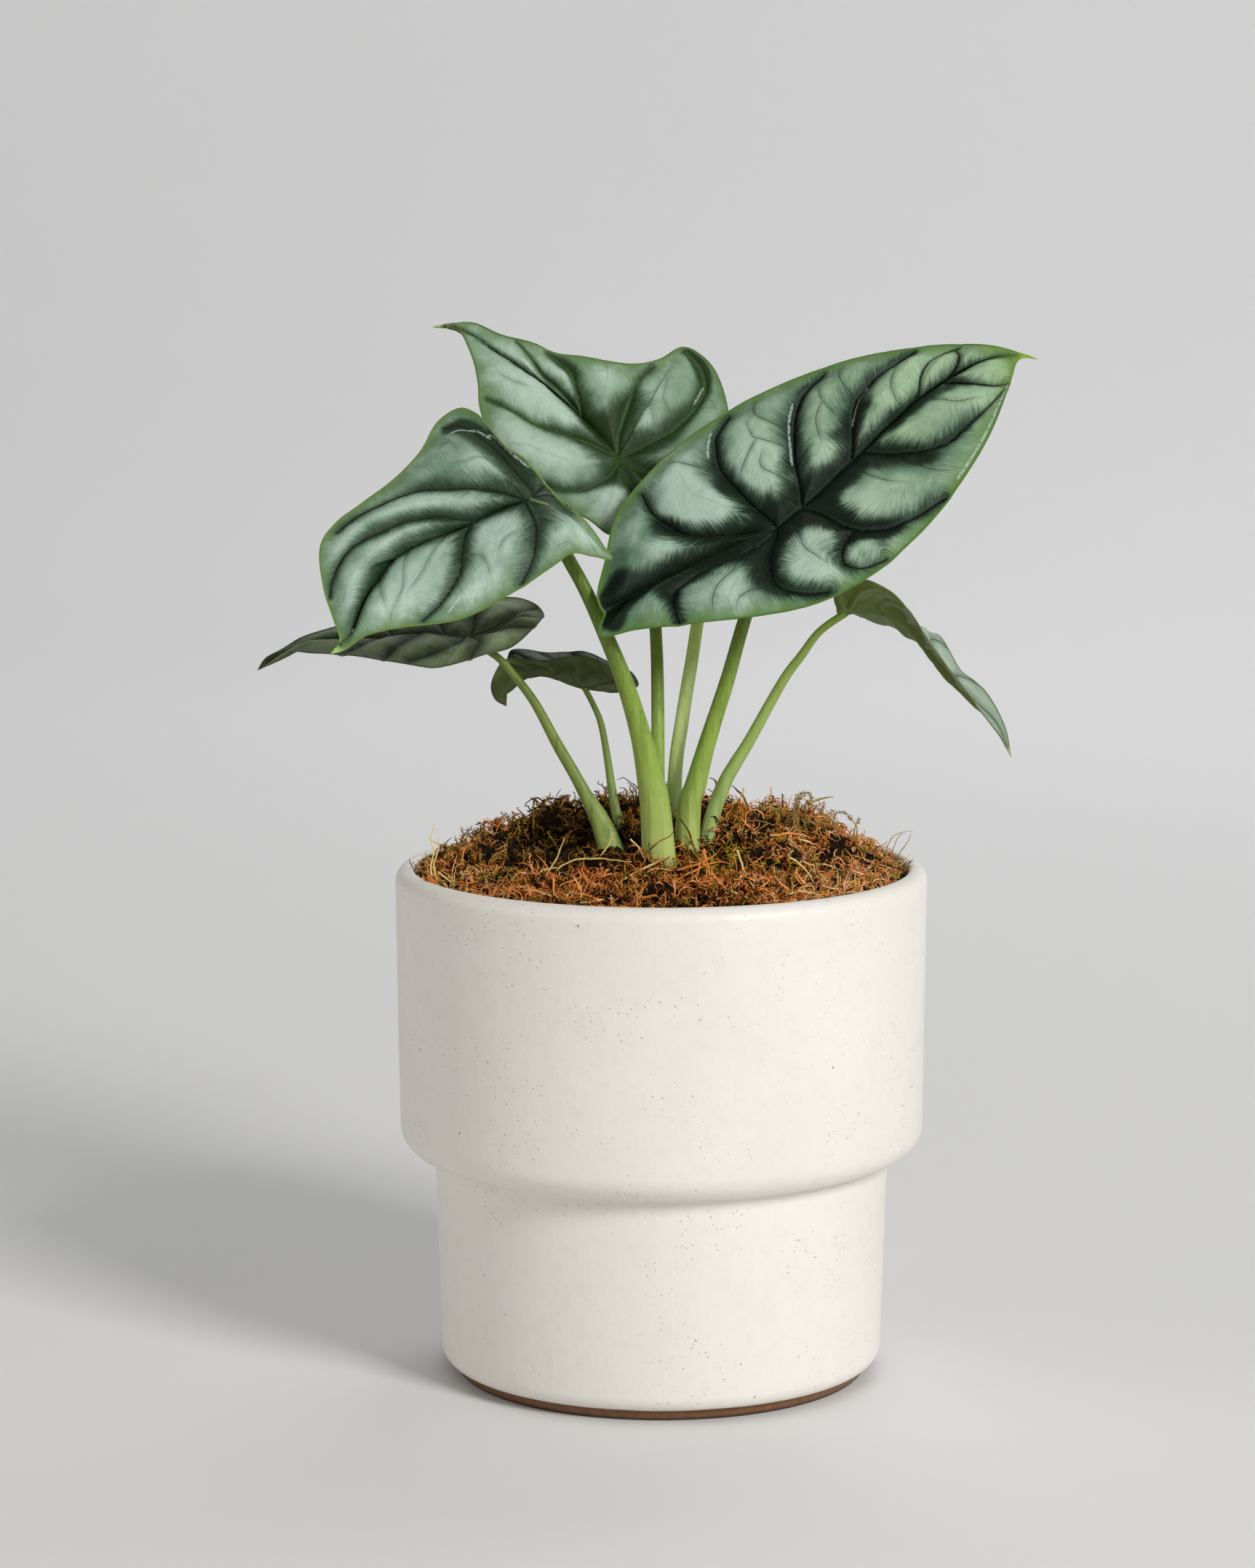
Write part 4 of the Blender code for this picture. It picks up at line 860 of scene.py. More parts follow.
left = {
    "rib": [(-30, -11, 237), (-32, -13, 235), (-35, -15, 233), (-43, -15, 230), (-51, -16, 226),
            (-60, -17, 223), (-68, -19, 219), (-73, -24, 213), (-76, -28, 208), (-79, -34, 201),
            (-84, -39, 196)],
    "left": [(-30, -11, 237), (-25, -14, 232), (-20, -16, 228), (-16, -18, 223), (-13, -20, 218),
             (-18, -24, 219), (-23, -26, 220), (-28, -29, 217), (-39, -31, 210), (-51, -33, 204),
             (-65, -33, 202), (-75, -35, 200), (-80, -37, 197), (-84, -39, 196)],
    "right": [(-30, -11, 237), (-35, -9, 243), (-40, -6, 246), (-44, -1, 250), (-48, 4, 254),
              (-53, 8, 255), (-59, 7, 251), (-63, -1, 244), (-70, -5, 237), (-77, -9, 232),
              (-84, -12, 227), (-88, -17, 221), (-87, -24, 212), (-84, -31, 204), (-82, -36, 199),
              (-84, -39, 196)],
    "rulings": [(0, 0, 0), (2, 4.2, 5.2), (2.1, 7.7, 8.8), (3.2, None, 10.2), (4.1, 9.8, 11.6),
                (6, 10.5, 12.5), (7.3, 11.0, 13.0), (10, 13, 15)],
    "heart": 2,
    "veins": [
        [(0.7, 0.02), (0.8, 0.22), (0.88, 0.46), (0.96, 0.64), (1.04, 0.8), (1.2, 0.92)],
        [(1.6, 0.02), (1.66, 0.24), (1.82, 0.48), (1.92, 0.72), (2.12, 0.82), (2.5, 0.88), (3.22, 0.93)],
        [(3.42, 0.02), (3.08, 0.3), (3.14, 0.48), (3.46, 0.6), (3.66, 0.72), (3.96, 0.84), (4.36, 0.9),
         (4.9, 0.95)],
        [(0.8, -0.02), (0.46, -0.14), (0.26, -0.5), (0.22, -0.8), (0.32, -0.92)],
        [(1.78, -0.02), (1.78, -0.36), (1.86, -0.6), (1.92, -0.78), (2.02, -0.95)],
        [(3.68, 0.02), (3.66, -0.18), (3.5, -0.48), (3.56, -0.64), (3.7, -0.8), (3.94, -0.94)],
    ],
    "fine": [
        [(4.8, 0.02), (4.76, -0.3), (4.68, -0.52), (4.7, -0.7), (4.94, -0.9)],
        [(5.74, -0.02), (5.44, -0.46), (5.1, -0.78)],
        [(4.18, 0.08), (4.24, -0.22), (4.32, -0.5), (4.58, -0.7)],
        [(3.38, -0.4), (2.98, -0.48), (2.72, -0.68), (2.62, -0.94)],
        [(1.7, -0.84), (1.46, -0.86), (1.4, -0.95)],
        [(1.4, 0.68), (1.36, 0.78), (1.5, 0.86)],
        [(1.18, 0.42), (1.44, 0.56), (1.54, 0.7)],
        [(1.94, -0.4), (2.38, -0.44), (2.58, -0.64)],
    ],
    "marks": [
        ([(1.26, 0.86), (1.0, 0.78), (0.88, 0.66)], 4.2, -1.0), ([(0.8, 0.66), (0.4, 0.84)], 2.2, -1.0),
        ([(0.4, 0.84), (0.24, 0.5)], 2.0, -1.0), ([(1.7, 0.7), (1.82, 0.82)], 3.0, -0.5),
        ([(4.84, -0.84)], 4.0, 0.5), ([(2.04, -0.32)], 3.5, 0.4), ([(3.4, 0.72), (3.0, 1.0)], 3.0, 0.2),
        ([(2.38, 0.96), (1.96, 0.76)], 2.6, 0.6), ([(3.8, 0.84)], 3.0, 0.4),
        ([(1.72, 0.18)], 3.0, 0.3), ([(1.48, 0.72), (1.34, 0.76)], 5.0, -1.1),
        ([(4.46, 0.6), (4.72, 0.46)], 4.0, -0.7), ([(3.2, 0.72)], 3.0, -0.6),
        ([(1.08, -0.5)], 4.0, -0.6), ([(0.74, -0.16)], 3.0, -0.4), ([(2.48, -0.66)], 3.0, -0.3),
        ([(3.16, -0.5), (3.1, -0.64)], 4.0, -0.4), ([(4.12, -0.36)], 3.0, -0.3),
        ([(2.1, 0.56), (2.06, 0.3)], 5.5, 0.3), ([(3.56, -0.84), (4.0, -0.76)], 5.0, 0.5),
        ([(3.0, -0.7), (2.98, -0.86)], 4.0, 0.7), ([(2.66, -0.46), (2.6, -0.3)], 5.0, 0.5),
        ([(1.0, -0.76)], 5.0, 0.2), ([(5.0, -0.3), (5.2, -0.6)], 5.0, 0.4),
        ([(1.32, 0.95), (1.1, 0.93)], 1.6, 0.9), ([(5.2, 0.7)], 5.0, 0.3),
    ],
    "glints": [
        [(0.82, 0.7), (0.4, 0.86), (0.26, 0.6)], [(1.3, 0.82), (1.02, 0.76), (0.86, 0.66)],
        [(3.5, -0.9), (3.3, -0.8)], [(3.06, -0.88), (2.98, -0.72)],
    ],
}
mid_leaf = leaf_finish(
    "silver_leaf", silver=(0.45, 0.60, 0.50), shade=(0.17, 0.28, 0.19), green=(0.10, 0.19, 0.05),
    deep=(0.052, 0.10, 0.058), dark=(0.009, 0.030, 0.008), line=(0.006, 0.016, 0.005),
    edge=(0.14, 0.24, 0.06), tip=(0.22, 0.36, 0.10), back=(0.17, 0.24, 0.12),
    back_vein=(0.09, 0.14, 0.06), fray=0.6, shine=0.32, hairs=0.3)
meeting_left = blade("blade_left", "leaf_left", left, mid_leaf,
                     pitch=0.62, puff=2.2, arch=1.5, band=2.8, ribs=1.0, seed=0)

low_left = {
    "rib": [(-31, 5, 201), (-40, 5, 198), (-50, 6, 195), (-61, 6, 196), (-70, 6, 195), (-78, 6, 194),
            (-88, 5, 194), (-95, 4, 193), (-101, 3, 190), (-106, 2, 187)],
    "left": [(-31, 5, 201), (-31, 1, 201), (-33, -3, 199), (-39, -8, 194), (-47, -10, 192),
             (-58, -11, 189), (-67, -10, 190), (-74, -9, 191), (-83, -7, 192), (-92, -4, 192),
             (-98, -1, 192), (-103, 1, 189), (-106, 2, 187)],
    "right": [(-31, 5, 201), (-31, 9, 201), (-33, 13, 203), (-38, 19, 204), (-46, 22, 204),
              (-54, 23, 204), (-62, 22, 202), (-69, 20, 200), (-78, 18, 199), (-86, 14, 197),
              (-94, 9, 195), (-100, 5, 192), (-104, 3, 190), (-106, 2, 187)],
    "rulings": [(0, 0, 0), (2, 3.2, 3.0), (2.1, 4.6, 4.8), (3, 6.3, 6.6), (4, 7.4, 8.0), (5, 8.6, 9.4),
                (9, 12, 13)],
    "heart": 2,
    "veins": [
        [(1.1, 0.02), (0.92, 0.1), (0.74, 0.2), (0.66, 0.38), (0.66, 0.68), (0.6, 0.94)],
        [(1.0, -0.02), (0.8, -0.1), (0.7, -0.36), (0.64, -0.76), (0.62, -0.94)],
        [(1.3, -0.04), (1.34, -0.4), (1.64, -0.74), (1.76, -0.95)],
        [(2.05, -0.04), (2.12, -0.2), (2.28, -0.48), (2.54, -0.7), (2.8, -0.92)],
        [(1.4, 0.04), (1.6, 0.3), (1.7, 0.6), (1.9, 0.93)],
        [(3.2, -0.02), (3.3, -0.2), (3.36, -0.5), (3.5, -0.93)],
        [(2.6, 0.03), (2.6, 0.4), (2.8, 0.7), (3.0, 0.93)],
        [(4.0, 0.03), (4.0, 0.5), (4.3, 0.93)],
        [(4.3, -0.03), (4.4, -0.5), (4.6, -0.93)],
    ],
    "fine": [[(1.7, -0.3), (2.0, -0.6), (2.2, -0.9)]],
}
# This blade lies in the shade of the leaf above it, and its colours are the silver leaf's painted darker and
# duller: painted shade.
leaf_painted_in_shade = leaf_finish(
    "silver_leaf_painted_in_shade", silver=(0.265, 0.33, 0.19), shade=(0.15, 0.195, 0.09), green=(0.09, 0.115, 0.042),
    deep=(0.062, 0.084, 0.036), dark=(0.014, 0.022, 0.007), line=(0.010, 0.016, 0.006),
    edge=(0.055, 0.065, 0.03), tip=(0.07, 0.085, 0.03), back=(0.14, 0.17, 0.075),
    back_vein=(0.06, 0.08, 0.03), contrast=0.85, fray=0.5, shine=0.24, hairs=0.3)
meeting_low_left = blade("blade_low_left", "leaf_low_left", low_left, leaf_painted_in_shade,
                         pitch=0.62, puff=1.3, arch=1.0, band=2.3, ribs=0.9, seed=11)

low_middle = {
    "rib": [(-8, 14, 181), (-14, 14, 181), (-20, 14, 182), (-27, 14, 184), (-32, 14, 185),
            (-37, 14, 184), (-40, 14, 181), (-43, 14, 178), (-41, 12, 176)],
    "left": [(-8, 14, 181), (-7, 11, 183), (-10, 8, 185), (-15, 6, 188), (-20, 6, 190), (-25, 6, 190),
             (-30, 7, 189), (-36, 8, 189), (-41, 9, 189), (-43, 10, 187), (-45, 10, 182),
             (-44, 11, 178), (-41, 12, 176)],
    "right": [(-8, 14, 181), (-6, 18, 181), (-8, 22, 184), (-13, 24, 186), (-20, 25, 189),
              (-25, 25, 189), (-30, 24, 189), (-36, 22, 190), (-40, 20, 190), (-41, 19, 187),
              (-41, 18, 181), (-41, 15, 178), (-41, 12, 176)],
    "rulings": [(0, 0, 0), (2, 2.5, 2.5), (2.3, 4.6, 4.6), (3.3, 6.2, 6.2), (4.5, 7.8, 7.8),
                (8, 12, 12)],
    "heart": 2,
    "veins": plain_veins(5),
    "fine": [[(1.5, -0.3), (1.9, -0.6), (2.2, -0.9)]],
}
withered_leaf = leaf_finish(
    "withering_leaf", silver=(0.20, 0.27, 0.15), shade=(0.11, 0.16, 0.075), green=(0.09, 0.13, 0.045),
    deep=(0.05, 0.075, 0.03), dark=(0.014, 0.026, 0.010), line=(0.010, 0.018, 0.008),
    edge=(0.045, 0.06, 0.022), tip=(0.15, 0.045, 0.012), back=(0.095, 0.13, 0.04),
    back_vein=(0.12, 0.15, 0.07), contrast=0.8, fray=0.5, hairs=0.25)
meeting_low_middle = blade("blade_low_middle", "leaf_low_middle", low_middle, withered_leaf,
                           pitch=0.6, puff=0.9, arch=0.4, band=1.8, ribs=0.6, seed=13)

right = {
    "rib": [(46, 5, 203), (48, 5, 203), (56, 7, 203), (64, 7, 200), (69, 7, 194), (75, 6, 186),
            (80, 5, 181), (83, 4, 178), (88, 3, 173), (92, 2, 164)],
    "left": [(46, 5, 203), (49, 9, 202), (53, 15, 201), (58, 19, 198), (64, 21, 195), (69, 20, 192),
             (72, 17, 195), (75, 15, 193), (79, 12, 186), (83, 10, 183), (86, 8, 180), (89, 6, 175),
             (91, 4, 170), (92, 2, 164)],
    "right": [(46, 5, 203), (45, 2, 206), (46, -3, 211), (52, -8, 212), (59, -9, 209), (64, -8, 204),
              (68, -6, 198), (72, -4, 192), (78, -2, 184), (82, -1, 179), (84, 0, 176), (87, 0, 172),
              (90, 1, 168), (92, 2, 164)],
    "rulings": [(0, 0, 0), (1, 2.2, 2.2), (1.2, 3.2, 3.4), (2.2, 4.3, 4.6), (3.2, 5.6, 5.8),
                (4.2, 7.0, 7.3), (5.4, 8.7, 8.8), (9, 13, 13)],
    "heart": 1,
    "veins": plain_veins(7),
    "fine": [[(2.5, 0.3), (2.8, 0.6), (3.0, 0.9)]],
}
drooping_leaf = leaf_finish(
    "drooping_leaf", silver=(0.40, 0.49, 0.42), shade=(0.29, 0.38, 0.31), green=(0.24, 0.32, 0.22),
    deep=(0.20, 0.27, 0.20), dark=(0.11, 0.16, 0.11), line=(0.06, 0.09, 0.06),
    edge=(0.12, 0.15, 0.06), tip=(0.20, 0.25, 0.15), back=(0.165, 0.225, 0.055),
    back_vein=(0.12, 0.165, 0.035), contrast=0.6, fray=0.6, hairs=0.25)
meeting_right = blade("blade_right", "leaf_right", right, drooping_leaf,
                      pitch=0.6, puff=0.6, arch=0.5, band=1.8, ribs=0.8, seed=17)

hidden = {
    "rib": [(12, 20, 226), (17, 26, 228), (25, 36, 229), (34, 48, 226), (42, 60, 219), (50, 71, 208)],
    "left": [(12, 20, 226), (5, 22, 224), (3, 32, 221), (7, 46, 217), (17, 58, 212), (33, 68, 207),
             (50, 71, 208)],
    "right": [(12, 20, 226), (16, 14, 231), (26, 18, 236), (37, 30, 237), (45, 44, 232), (50, 58, 221),
              (50, 71, 208)],
    "rulings": [(0, 0, 0), (1, 1.4, 1.4), (1.1, 2.6, 2.6), (2, 3.6, 3.6), (3, 4.5, 4.5), (5, 6, 6)],
    "heart": 1,
    "veins": plain_veins(5),
    "fine": [[(2.5, 0.3), (2.8, 0.6), (3.0, 0.9)], [(1.6, -0.3), (1.9, -0.6), (2.1, -0.9)]],
}
meeting_hidden = blade("blade_hidden", "leaf_hidden", hidden, mid_leaf,
                       pitch=0.7, puff=1.6, arch=1.0, band=3.2, ribs=1.0, seed=19)


# Leaf stalks
# Fleshy round stalks, pale green and sheathed at the foot and thinner and darker above. Each grows
# from the corm and runs into the midrib on the underside of its blade.

STALK_SIDES = 36
STALK_FOOT = 124.0            # height at which the stalks stand on the corm
SHEATH_FOOT = 132.0           # height at which a sheath begins to narrow


def clamp(value, low=0.0):
    return min(1.0, max(low, value))


def across_of(line, away):
    """Two unit vectors across a line at each of its points, found from a direction it never takes."""
    ahead = unit(np.gradient(line, axis=0))
    side = unit(np.cross(ahead, away))
    return side, np.cross(side, ahead)


def tube(rings, sides):
    """Faces of a closed tube of rings of points."""
    last = rings * sides
    return hoops(rings, sides) + [tuple(reversed(range(sides))), tuple(range(last - sides, last))]


def stalk(name, node_name, route, meeting, material, sheath=0.0, lean=0.0, top=158.0):
    """A tapered stalk along a route of (x, y, z, radius). A sheath laps round one side of its foot and
    runs out in a point at the top given."""
    heart, normal = meeting
    ahead = Vector(heart - np.array(route[-1][:3])).normalized()
    slant = math.sqrt(max(0.0, 1 - ahead.dot(Vector(normal)) ** 2))
    end = heart - normal * (0.2 + route[-1][3] * slant)
    route = [(route[0][0], route[0][1], STALK_FOOT, route[0][3])] + list(route[1:])
    line, far = evenly(route + [(*end, route[-1][3])], 1.2)
    centre, radius = line[:, :3], line[:, 3]
    side, front = across_of(centre, (0.0, 1.0, 0.0))
    angles = np.linspace(0, 2 * math.pi, STALK_SIDES, endpoint=False)
    points = []
    for i in range(len(line)):
        share = clamp((top - centre[i, 2]) / (top - SHEATH_FOOT))
        for a in angles:
            facing = math.cos(a - lean)
            groove = 1 - 0.06 * max(0.0, facing) ** 8
            wing = sheath * share * max(0.0, facing) ** 2
            wing += 0.18 * (sheath > 0) * clamp((facing - 1 + 0.9 * share) * 6)
            bumps = 0.03 * noise.noise(Vector((math.cos(a) * 1.5, math.sin(a) * 1.5, far[i] * 0.09)))
            r = radius[i] * (groove + bumps) + wing
            points.append(centre[i] + side[i] * r * math.cos(a) + front[i] * r * math.sin(a))
    thing = solid(name, points, tube(len(line), STALK_SIDES), material, sharp=60)
    outward(thing)
    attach(thing, "root")
    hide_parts(node_name)


def stalk_finish(name, foot, middle, head, fleck, flecks):
    """Stalk skin: pale at the foot, darker above, with fine fibres along it and brown flecks."""
    material, tree, shader, spot = finish(name, 0.4, Specular_IOR_Level=0.3, Subsurface_Weight=0.08,
                                          Subsurface_Scale=0.002)
    height = node(tree, "ShaderNodeSeparateXYZ", {0: spot}).outputs["Z"]
    along = stretched(tree, spot, 0.05)
    fibres = grain(tree, along, 2600.0, 3.0, 0.6)
    bands = grain(tree, along, 620.0)
    blots = grain(tree, stretched(tree, spot, 0.35), 520.0, 3.0, 0.6)
    rise = stirred(tree, height, grain(tree, spot, 130.0, 3.0, 0.6), 0.012)
    colour = tint(tree, ramp(tree, rise, 0.136, 0.165), foot, middle)
    colour = tint(tree, ramp(tree, rise, 0.165, 0.205), colour, head)
    colour = tint(tree, ramp(tree, bands, 0.52, 0.30), colour, head, 0.45)
    colour = tint(tree, ramp(tree, fibres, 0.45, 0.75), colour, toned(middle, 1.4), 0.35)
    colour = tint(tree, ramp(tree, blots, 0.55, 0.68), colour, fleck, flecks)
    paint(tree, shader, colour, maths(tree, "MULTIPLY_ADD", fibres, 0.25, 0.30))
    relief(tree, shader, fibres, 0.0002, 0.5)
    return material


fresh_stalk = stalk_finish("fresh_stalk", (0.44, 0.55, 0.22), (0.31, 0.43, 0.11), (0.20, 0.30, 0.05),
                           (0.16, 0.22, 0.04), 0.15)
# The hidden stalk is pale green, painted lighter still against the shade of the stalks in front of it and
# for the light it lets through: painted light.
pale_stalk_painted_bright = stalk_finish("pale_stalk_painted_bright", (0.82, 0.90, 0.56), (0.70, 0.82, 0.34), (0.42, 0.60, 0.12),
                          (0.30, 0.38, 0.06), 0.1)
dark_stalk = stalk_finish("dark_stalk", (0.54, 0.63, 0.20), (0.28, 0.41, 0.065), (0.105, 0.18, 0.018),
                          (0.09, 0.14, 0.02), 0.2)
brown_stalk = stalk_finish("mottled_stalk", (0.34, 0.43, 0.12), (0.19, 0.26, 0.05), (0.12, 0.17, 0.025),
                           (0.07, 0.075, 0.02), 0.5)

stalk("stem_front_right", "stalk_front_right",
      [(6, -1, 128, 3.0), (7, -1, 149, 3.1), (9, -1, 157, 2.9), (12, -1, 168, 2.3), (17, -1, 184, 2.0),
       (21.5, -1, 200, 1.8), (26, 0, 213, 1.8)], meeting_front_right, dark_stalk, 0.7, 3.4, 154.0)
stalk("stem_back", "stalk_back",
      [(-1, 2, 128, 2.6), (-1, 5, 157, 1.9), (-1, 10, 177, 1.8), (-1.5, 15, 195, 1.7),
       (-3, 21, 212, 1.7), (-7, 27, 227, 1.7)], meeting_back, dark_stalk)
stalk("stem_left", "stalk_left",
      [(-1, -8, 128, 3.7), (-2, -8, 150, 3.6), (-3, -8, 159, 3.5), (-5.5, -9, 171.5, 2.8),
       (-10.5, -10.5, 187.5, 2.3), (-18.5, -10.5, 206.5, 1.9), (-24, -10, 217, 1.8),
       (-30, -9, 227, 1.8)], meeting_left, dark_stalk, 2.2, 3.3, 163.0)
stalk("stem_low_left", "stalk_low_left",
      [(-9, 0, 128, 2.9), (-13, -1, 136, 3.0), (-16, -0.5, 146, 2.4), (-21.5, 1, 157, 1.7),
       (-27.5, 2, 167.5, 1.5), (-33.5, 2.5, 178.5, 1.25), (-40, 2.5, 187, 1.1),
       (-43.5, 3.5, 190.5, 1.0)], meeting_low_left, brown_stalk, 2.0, 3.2, 153.0)
stalk("stem_low_middle", "stalk_low_middle",
      [(-6, 6, 128, 2.1), (-11, 9.5, 144, 1.6), (-12.5, 11, 150, 1.3), (-14.5, 14, 163, 1.0),
       (-16, 14.5, 171, 0.9), (-18, 15, 176, 0.8)], meeting_low_middle, brown_stalk)
stalk("stem_right", "stalk_right",
      [(9, 5, 128, 2.3), (13, 5, 145, 1.9), (16.5, 6, 156, 1.9), (19.5, 7, 161.5, 1.8),
       (23, 8, 167, 1.6), (32, 10, 183, 1.35), (36.9, 9, 190, 1.2), (41.6, 7, 196.6, 1.05)],
      meeting_right, fresh_stalk, 0.7, 0.2)
stalk("stem_hidden", "stalk_hidden",
      [(3, 8, 128, 2.4), (3.5, 8, 157, 2.0), (5.5, 10, 173, 1.9), (8, 12, 188.5, 1.8),
       (10, 14, 201, 1.7), (13, 19, 214, 1.6)], meeting_hidden, pale_stalk_painted_bright)


# Moss
# A loose mat of moss and root fibre covers the soil up to the rim. It is dark and crumbly below,
# with rusty fibres tangled over it, an olive patch by the stalks and a few dry straws. Its near-black
# is partly painted shade deep between the strands.

MOSS_EDGE = 132.6
MOSS_RADIUS = LIP_RADIUS - 0.35
MOSS_FOOT = 128.0
MOSS_RINGS = 58
MOSS_STEPS = 230
MOUNDS = [((0, 22), (60, 22), 13.5), ((48, 12), (14, 14), 5.0), ((-48, 8), (12, 12), 3.5),
          ((15, 8), (10, 10), 2.5), ((-34, 4), (12, 10), -5.0)]


def bump(x, y, centre, size, height):
    """A soft mound, or a hollow where the height is negative."""
    return height * np.exp(-((x - centre[0]) / size[0]) ** 2 - ((y - centre[1]) / size[1]) ** 2)


def moss_height(x, y):
    """Top of the mat in millimetres: low at the front, heaped behind the stalks, lumpy all over."""
    out = math.hypot(x, y) / MOSS_RADIUS
    heap = 3.5 * (1 - out ** 2)
    for mound in MOUNDS:
        heap += bump(x, y, *mound)
    heap += 4.0 * noise.noise(Vector((x, y, 0.0)) / 9.0)
    heap += 4.0 * noise.noise(Vector((x, y, 40.0)) / 4.2)
    heap += 0.9 * noise.noise(Vector((x, y, 80.0)) / 1.9) + 0.5 * noise.noise(Vector((x, y, 90.0)))
    return MOSS_EDGE - 0.8 + max(0.0, 1 - out ** 6) * heap


mat_finish, tree, shader, spot = finish("moss_mat", 0.95, Specular_IOR_Level=0.2)
lumps = grain(tree, spot, 140.0, 4.0, 0.65)
threads = grain(tree, spot, 1500.0, 4.0, 0.7)
# The mat's near-black: its dark lower layer, and painted shade deep between the strands.
ground = tint(tree, ramp(tree, lumps, 0.35, 0.7), (0.005, 0.003, 0.0015), (0.040, 0.018, 0.007))
paint(tree, shader, tint(tree, ramp(tree, threads, 0.5, 0.8), ground, (0.08, 0.036, 0.013)))
relief(tree, shader, threads, 0.001)

profile = [(MOSS_RADIUS * i / MOSS_RINGS, POT_HEIGHT) for i in range(MOSS_RINGS + 1)]
profile += [(MOSS_RADIUS, MOSS_FOOT), (0.0, MOSS_FOOT)]
mat = turned("moss_mat", profile, MOSS_STEPS, mat_finish)
for vert in mat.data.vertices:
    if vert.co.z > (MOSS_FOOT + 2.0) * MM:
        vert.co.z = moss_height(vert.co.x / MM, vert.co.y / MM) * MM
mat.data.update()
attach(mat, "root")
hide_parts("moss")


# Moss sprigs and root fibres
# Small leafy sprigs stand all over the mat, and curled fibres and dry straws lie on them. All are
# scattered on the mat's surface, so they follow its lumps.

OVERHANG = 66.5               # how far out growth may reach over the rim
CLEARANCE = 0.15              # millimetres between growth and the inside of the lip


def strand(line, radii, sides):
    """Points and faces of a thin closed strand that follows a line."""
    side, front = across_of(line, (0.31, 0.2, 0.93))
    angles = 2 * math.pi * np.arange(sides) / sides
    points = [line[i] + radii[i] * (side[i] * math.cos(a) + front[i] * math.sin(a))
              for i in range(len(line)) for a in angles]
    return points, tube(len(line), sides)


def wander(draw, length, steps, start, curl, lift=0.0):
    """A line that sets off in a direction and turns at random as it goes."""
    heading = unit(np.array(start, float))
    spin = draw.normal(size=3) * curl
    line = [np.zeros(3)]
    for _ in range(steps):
        line.append(line[-1] + heading * length / steps)
        spin += draw.normal(size=3) * curl * 0.5
        heading = unit(heading + np.cross(spin, heading) + (0, 0, lift))
    return np.array(line)


def leaflet(first):
    """Faces of a small pointed leaf whose four points are numbered from the first."""
    return [(first, first + 3, first + 2), (first + 1, first + 2, first + 3),
            (first, first + 1, first + 3), (first, first + 2, first + 1)]


def leafy(draw, length):
    """A moss sprig: a bent stem with small pointed leaves all round it."""
    line = wander(draw, length, 4, (draw.normal() * 0.5, draw.normal() * 0.5, 1.0), 0.45)
    points, faces = strand(line, np.linspace(0.28, 0.12, 5), 3)
    leaves = 12
    for i in range(leaves):
        along = (i + 1) / (leaves + 1) * 4
        low = int(min(along, 3))
        root = line[low] + (line[low + 1] - line[low]) * (along - low)
        way = unit(np.array([math.cos(i * 2.4), math.sin(i * 2.4), draw.uniform(0.1, 0.8)]))
        across = np.cross(way, (0, 0, 1.0))
        size = draw.uniform(0.8, 1.5) * length / 6.0
        faces += leaflet(len(points))
        points += [root - across * 0.22, root + across * 0.22, root + way * size]
        points += [root + way * size * 0.4 + np.array([0, 0, 0.2])]
    return points, faces


def fibre(draw, length, thick, curl):
    """A root fibre: one curled strand that lies nearly flat."""
    line = wander(draw, length, 9, (1.0, 0.0, draw.uniform(-0.1, 0.35)), curl, -0.02)
    line -= line[len(line) // 2] - (0, 0, 0.6)
    return strand(line, thick * np.array([0.5, 0.8, 1, 1, 1, 1, 0.9, 0.8, 0.6, 0.35]), 3)


def shapes(name, makers):
    """A collection of the shapes that a scatter picks from."""
    group = bpy.data.collections.new(name)
    for i, (points, faces) in enumerate(makers):
        thing = solid(f"{name}_{i}", points, faces, mat_finish)
        bpy.context.scene.collection.objects.unlink(thing)
        group.objects.link(thing)
    return group


# The scatter puts shapes on a mesh, as thickly as an attribute of its points says, each turned and
# tilted at random and with a tone of its own.
scatter = bpy.data.node_groups.new("moss_scatter", "GeometryNodeTree")
sockets = {}
for name, kind in (("Geometry", "Geometry"), ("Shapes", "Collection"), ("Weight", "String"),
                   ("Density", "Float"), ("Seed", "Int"), ("Tilt", "Float"), ("Smallest", "Float"),
                   ("Largest", "Float"), ("Material", "Material")):
    made = scatter.interface.new_socket(name, in_out="INPUT", socket_type="NodeSocket" + kind)
    sockets[name] = made.identifier
scatter.interface.new_socket("Geometry", in_out="OUTPUT", socket_type="NodeSocketGeometry")
given = scatter.nodes.new("NodeGroupInput").outputs
weight = node(scatter, "GeometryNodeInputNamedAttribute", {"Name": given["Weight"]}, data_type="FLOAT")
spread = node(scatter, "GeometryNodeDistributePointsOnFaces", {
    "Mesh": given["Geometry"], "Density": times(scatter, weight.outputs[0], given["Density"]),
    "Seed": given["Seed"]})
back_tilt = times(scatter, given["Tilt"], -1.0)
least = node(scatter, "ShaderNodeCombineXYZ", {0: back_tilt, 1: back_tilt, 2: -math.pi})
most = node(scatter, "ShaderNodeCombineXYZ", {0: given["Tilt"], 1: given["Tilt"], 2: math.pi})
lean = node(scatter, "FunctionNodeRandomValue", {
    "Min": least.outputs[0], "Max": most.outputs[0], "Seed": given["Seed"]}, data_type="FLOAT_VECTOR")
stood = node(scatter, "FunctionNodeRotateRotation", {
    "Rotation": spread.outputs["Rotation"], "Rotate By": lean.outputs[0]}, rotation_space="LOCAL")
size = node(scatter, "FunctionNodeRandomValue", {
    2: given["Smallest"], 3: given["Largest"], "Seed": given["Seed"]}, data_type="FLOAT")
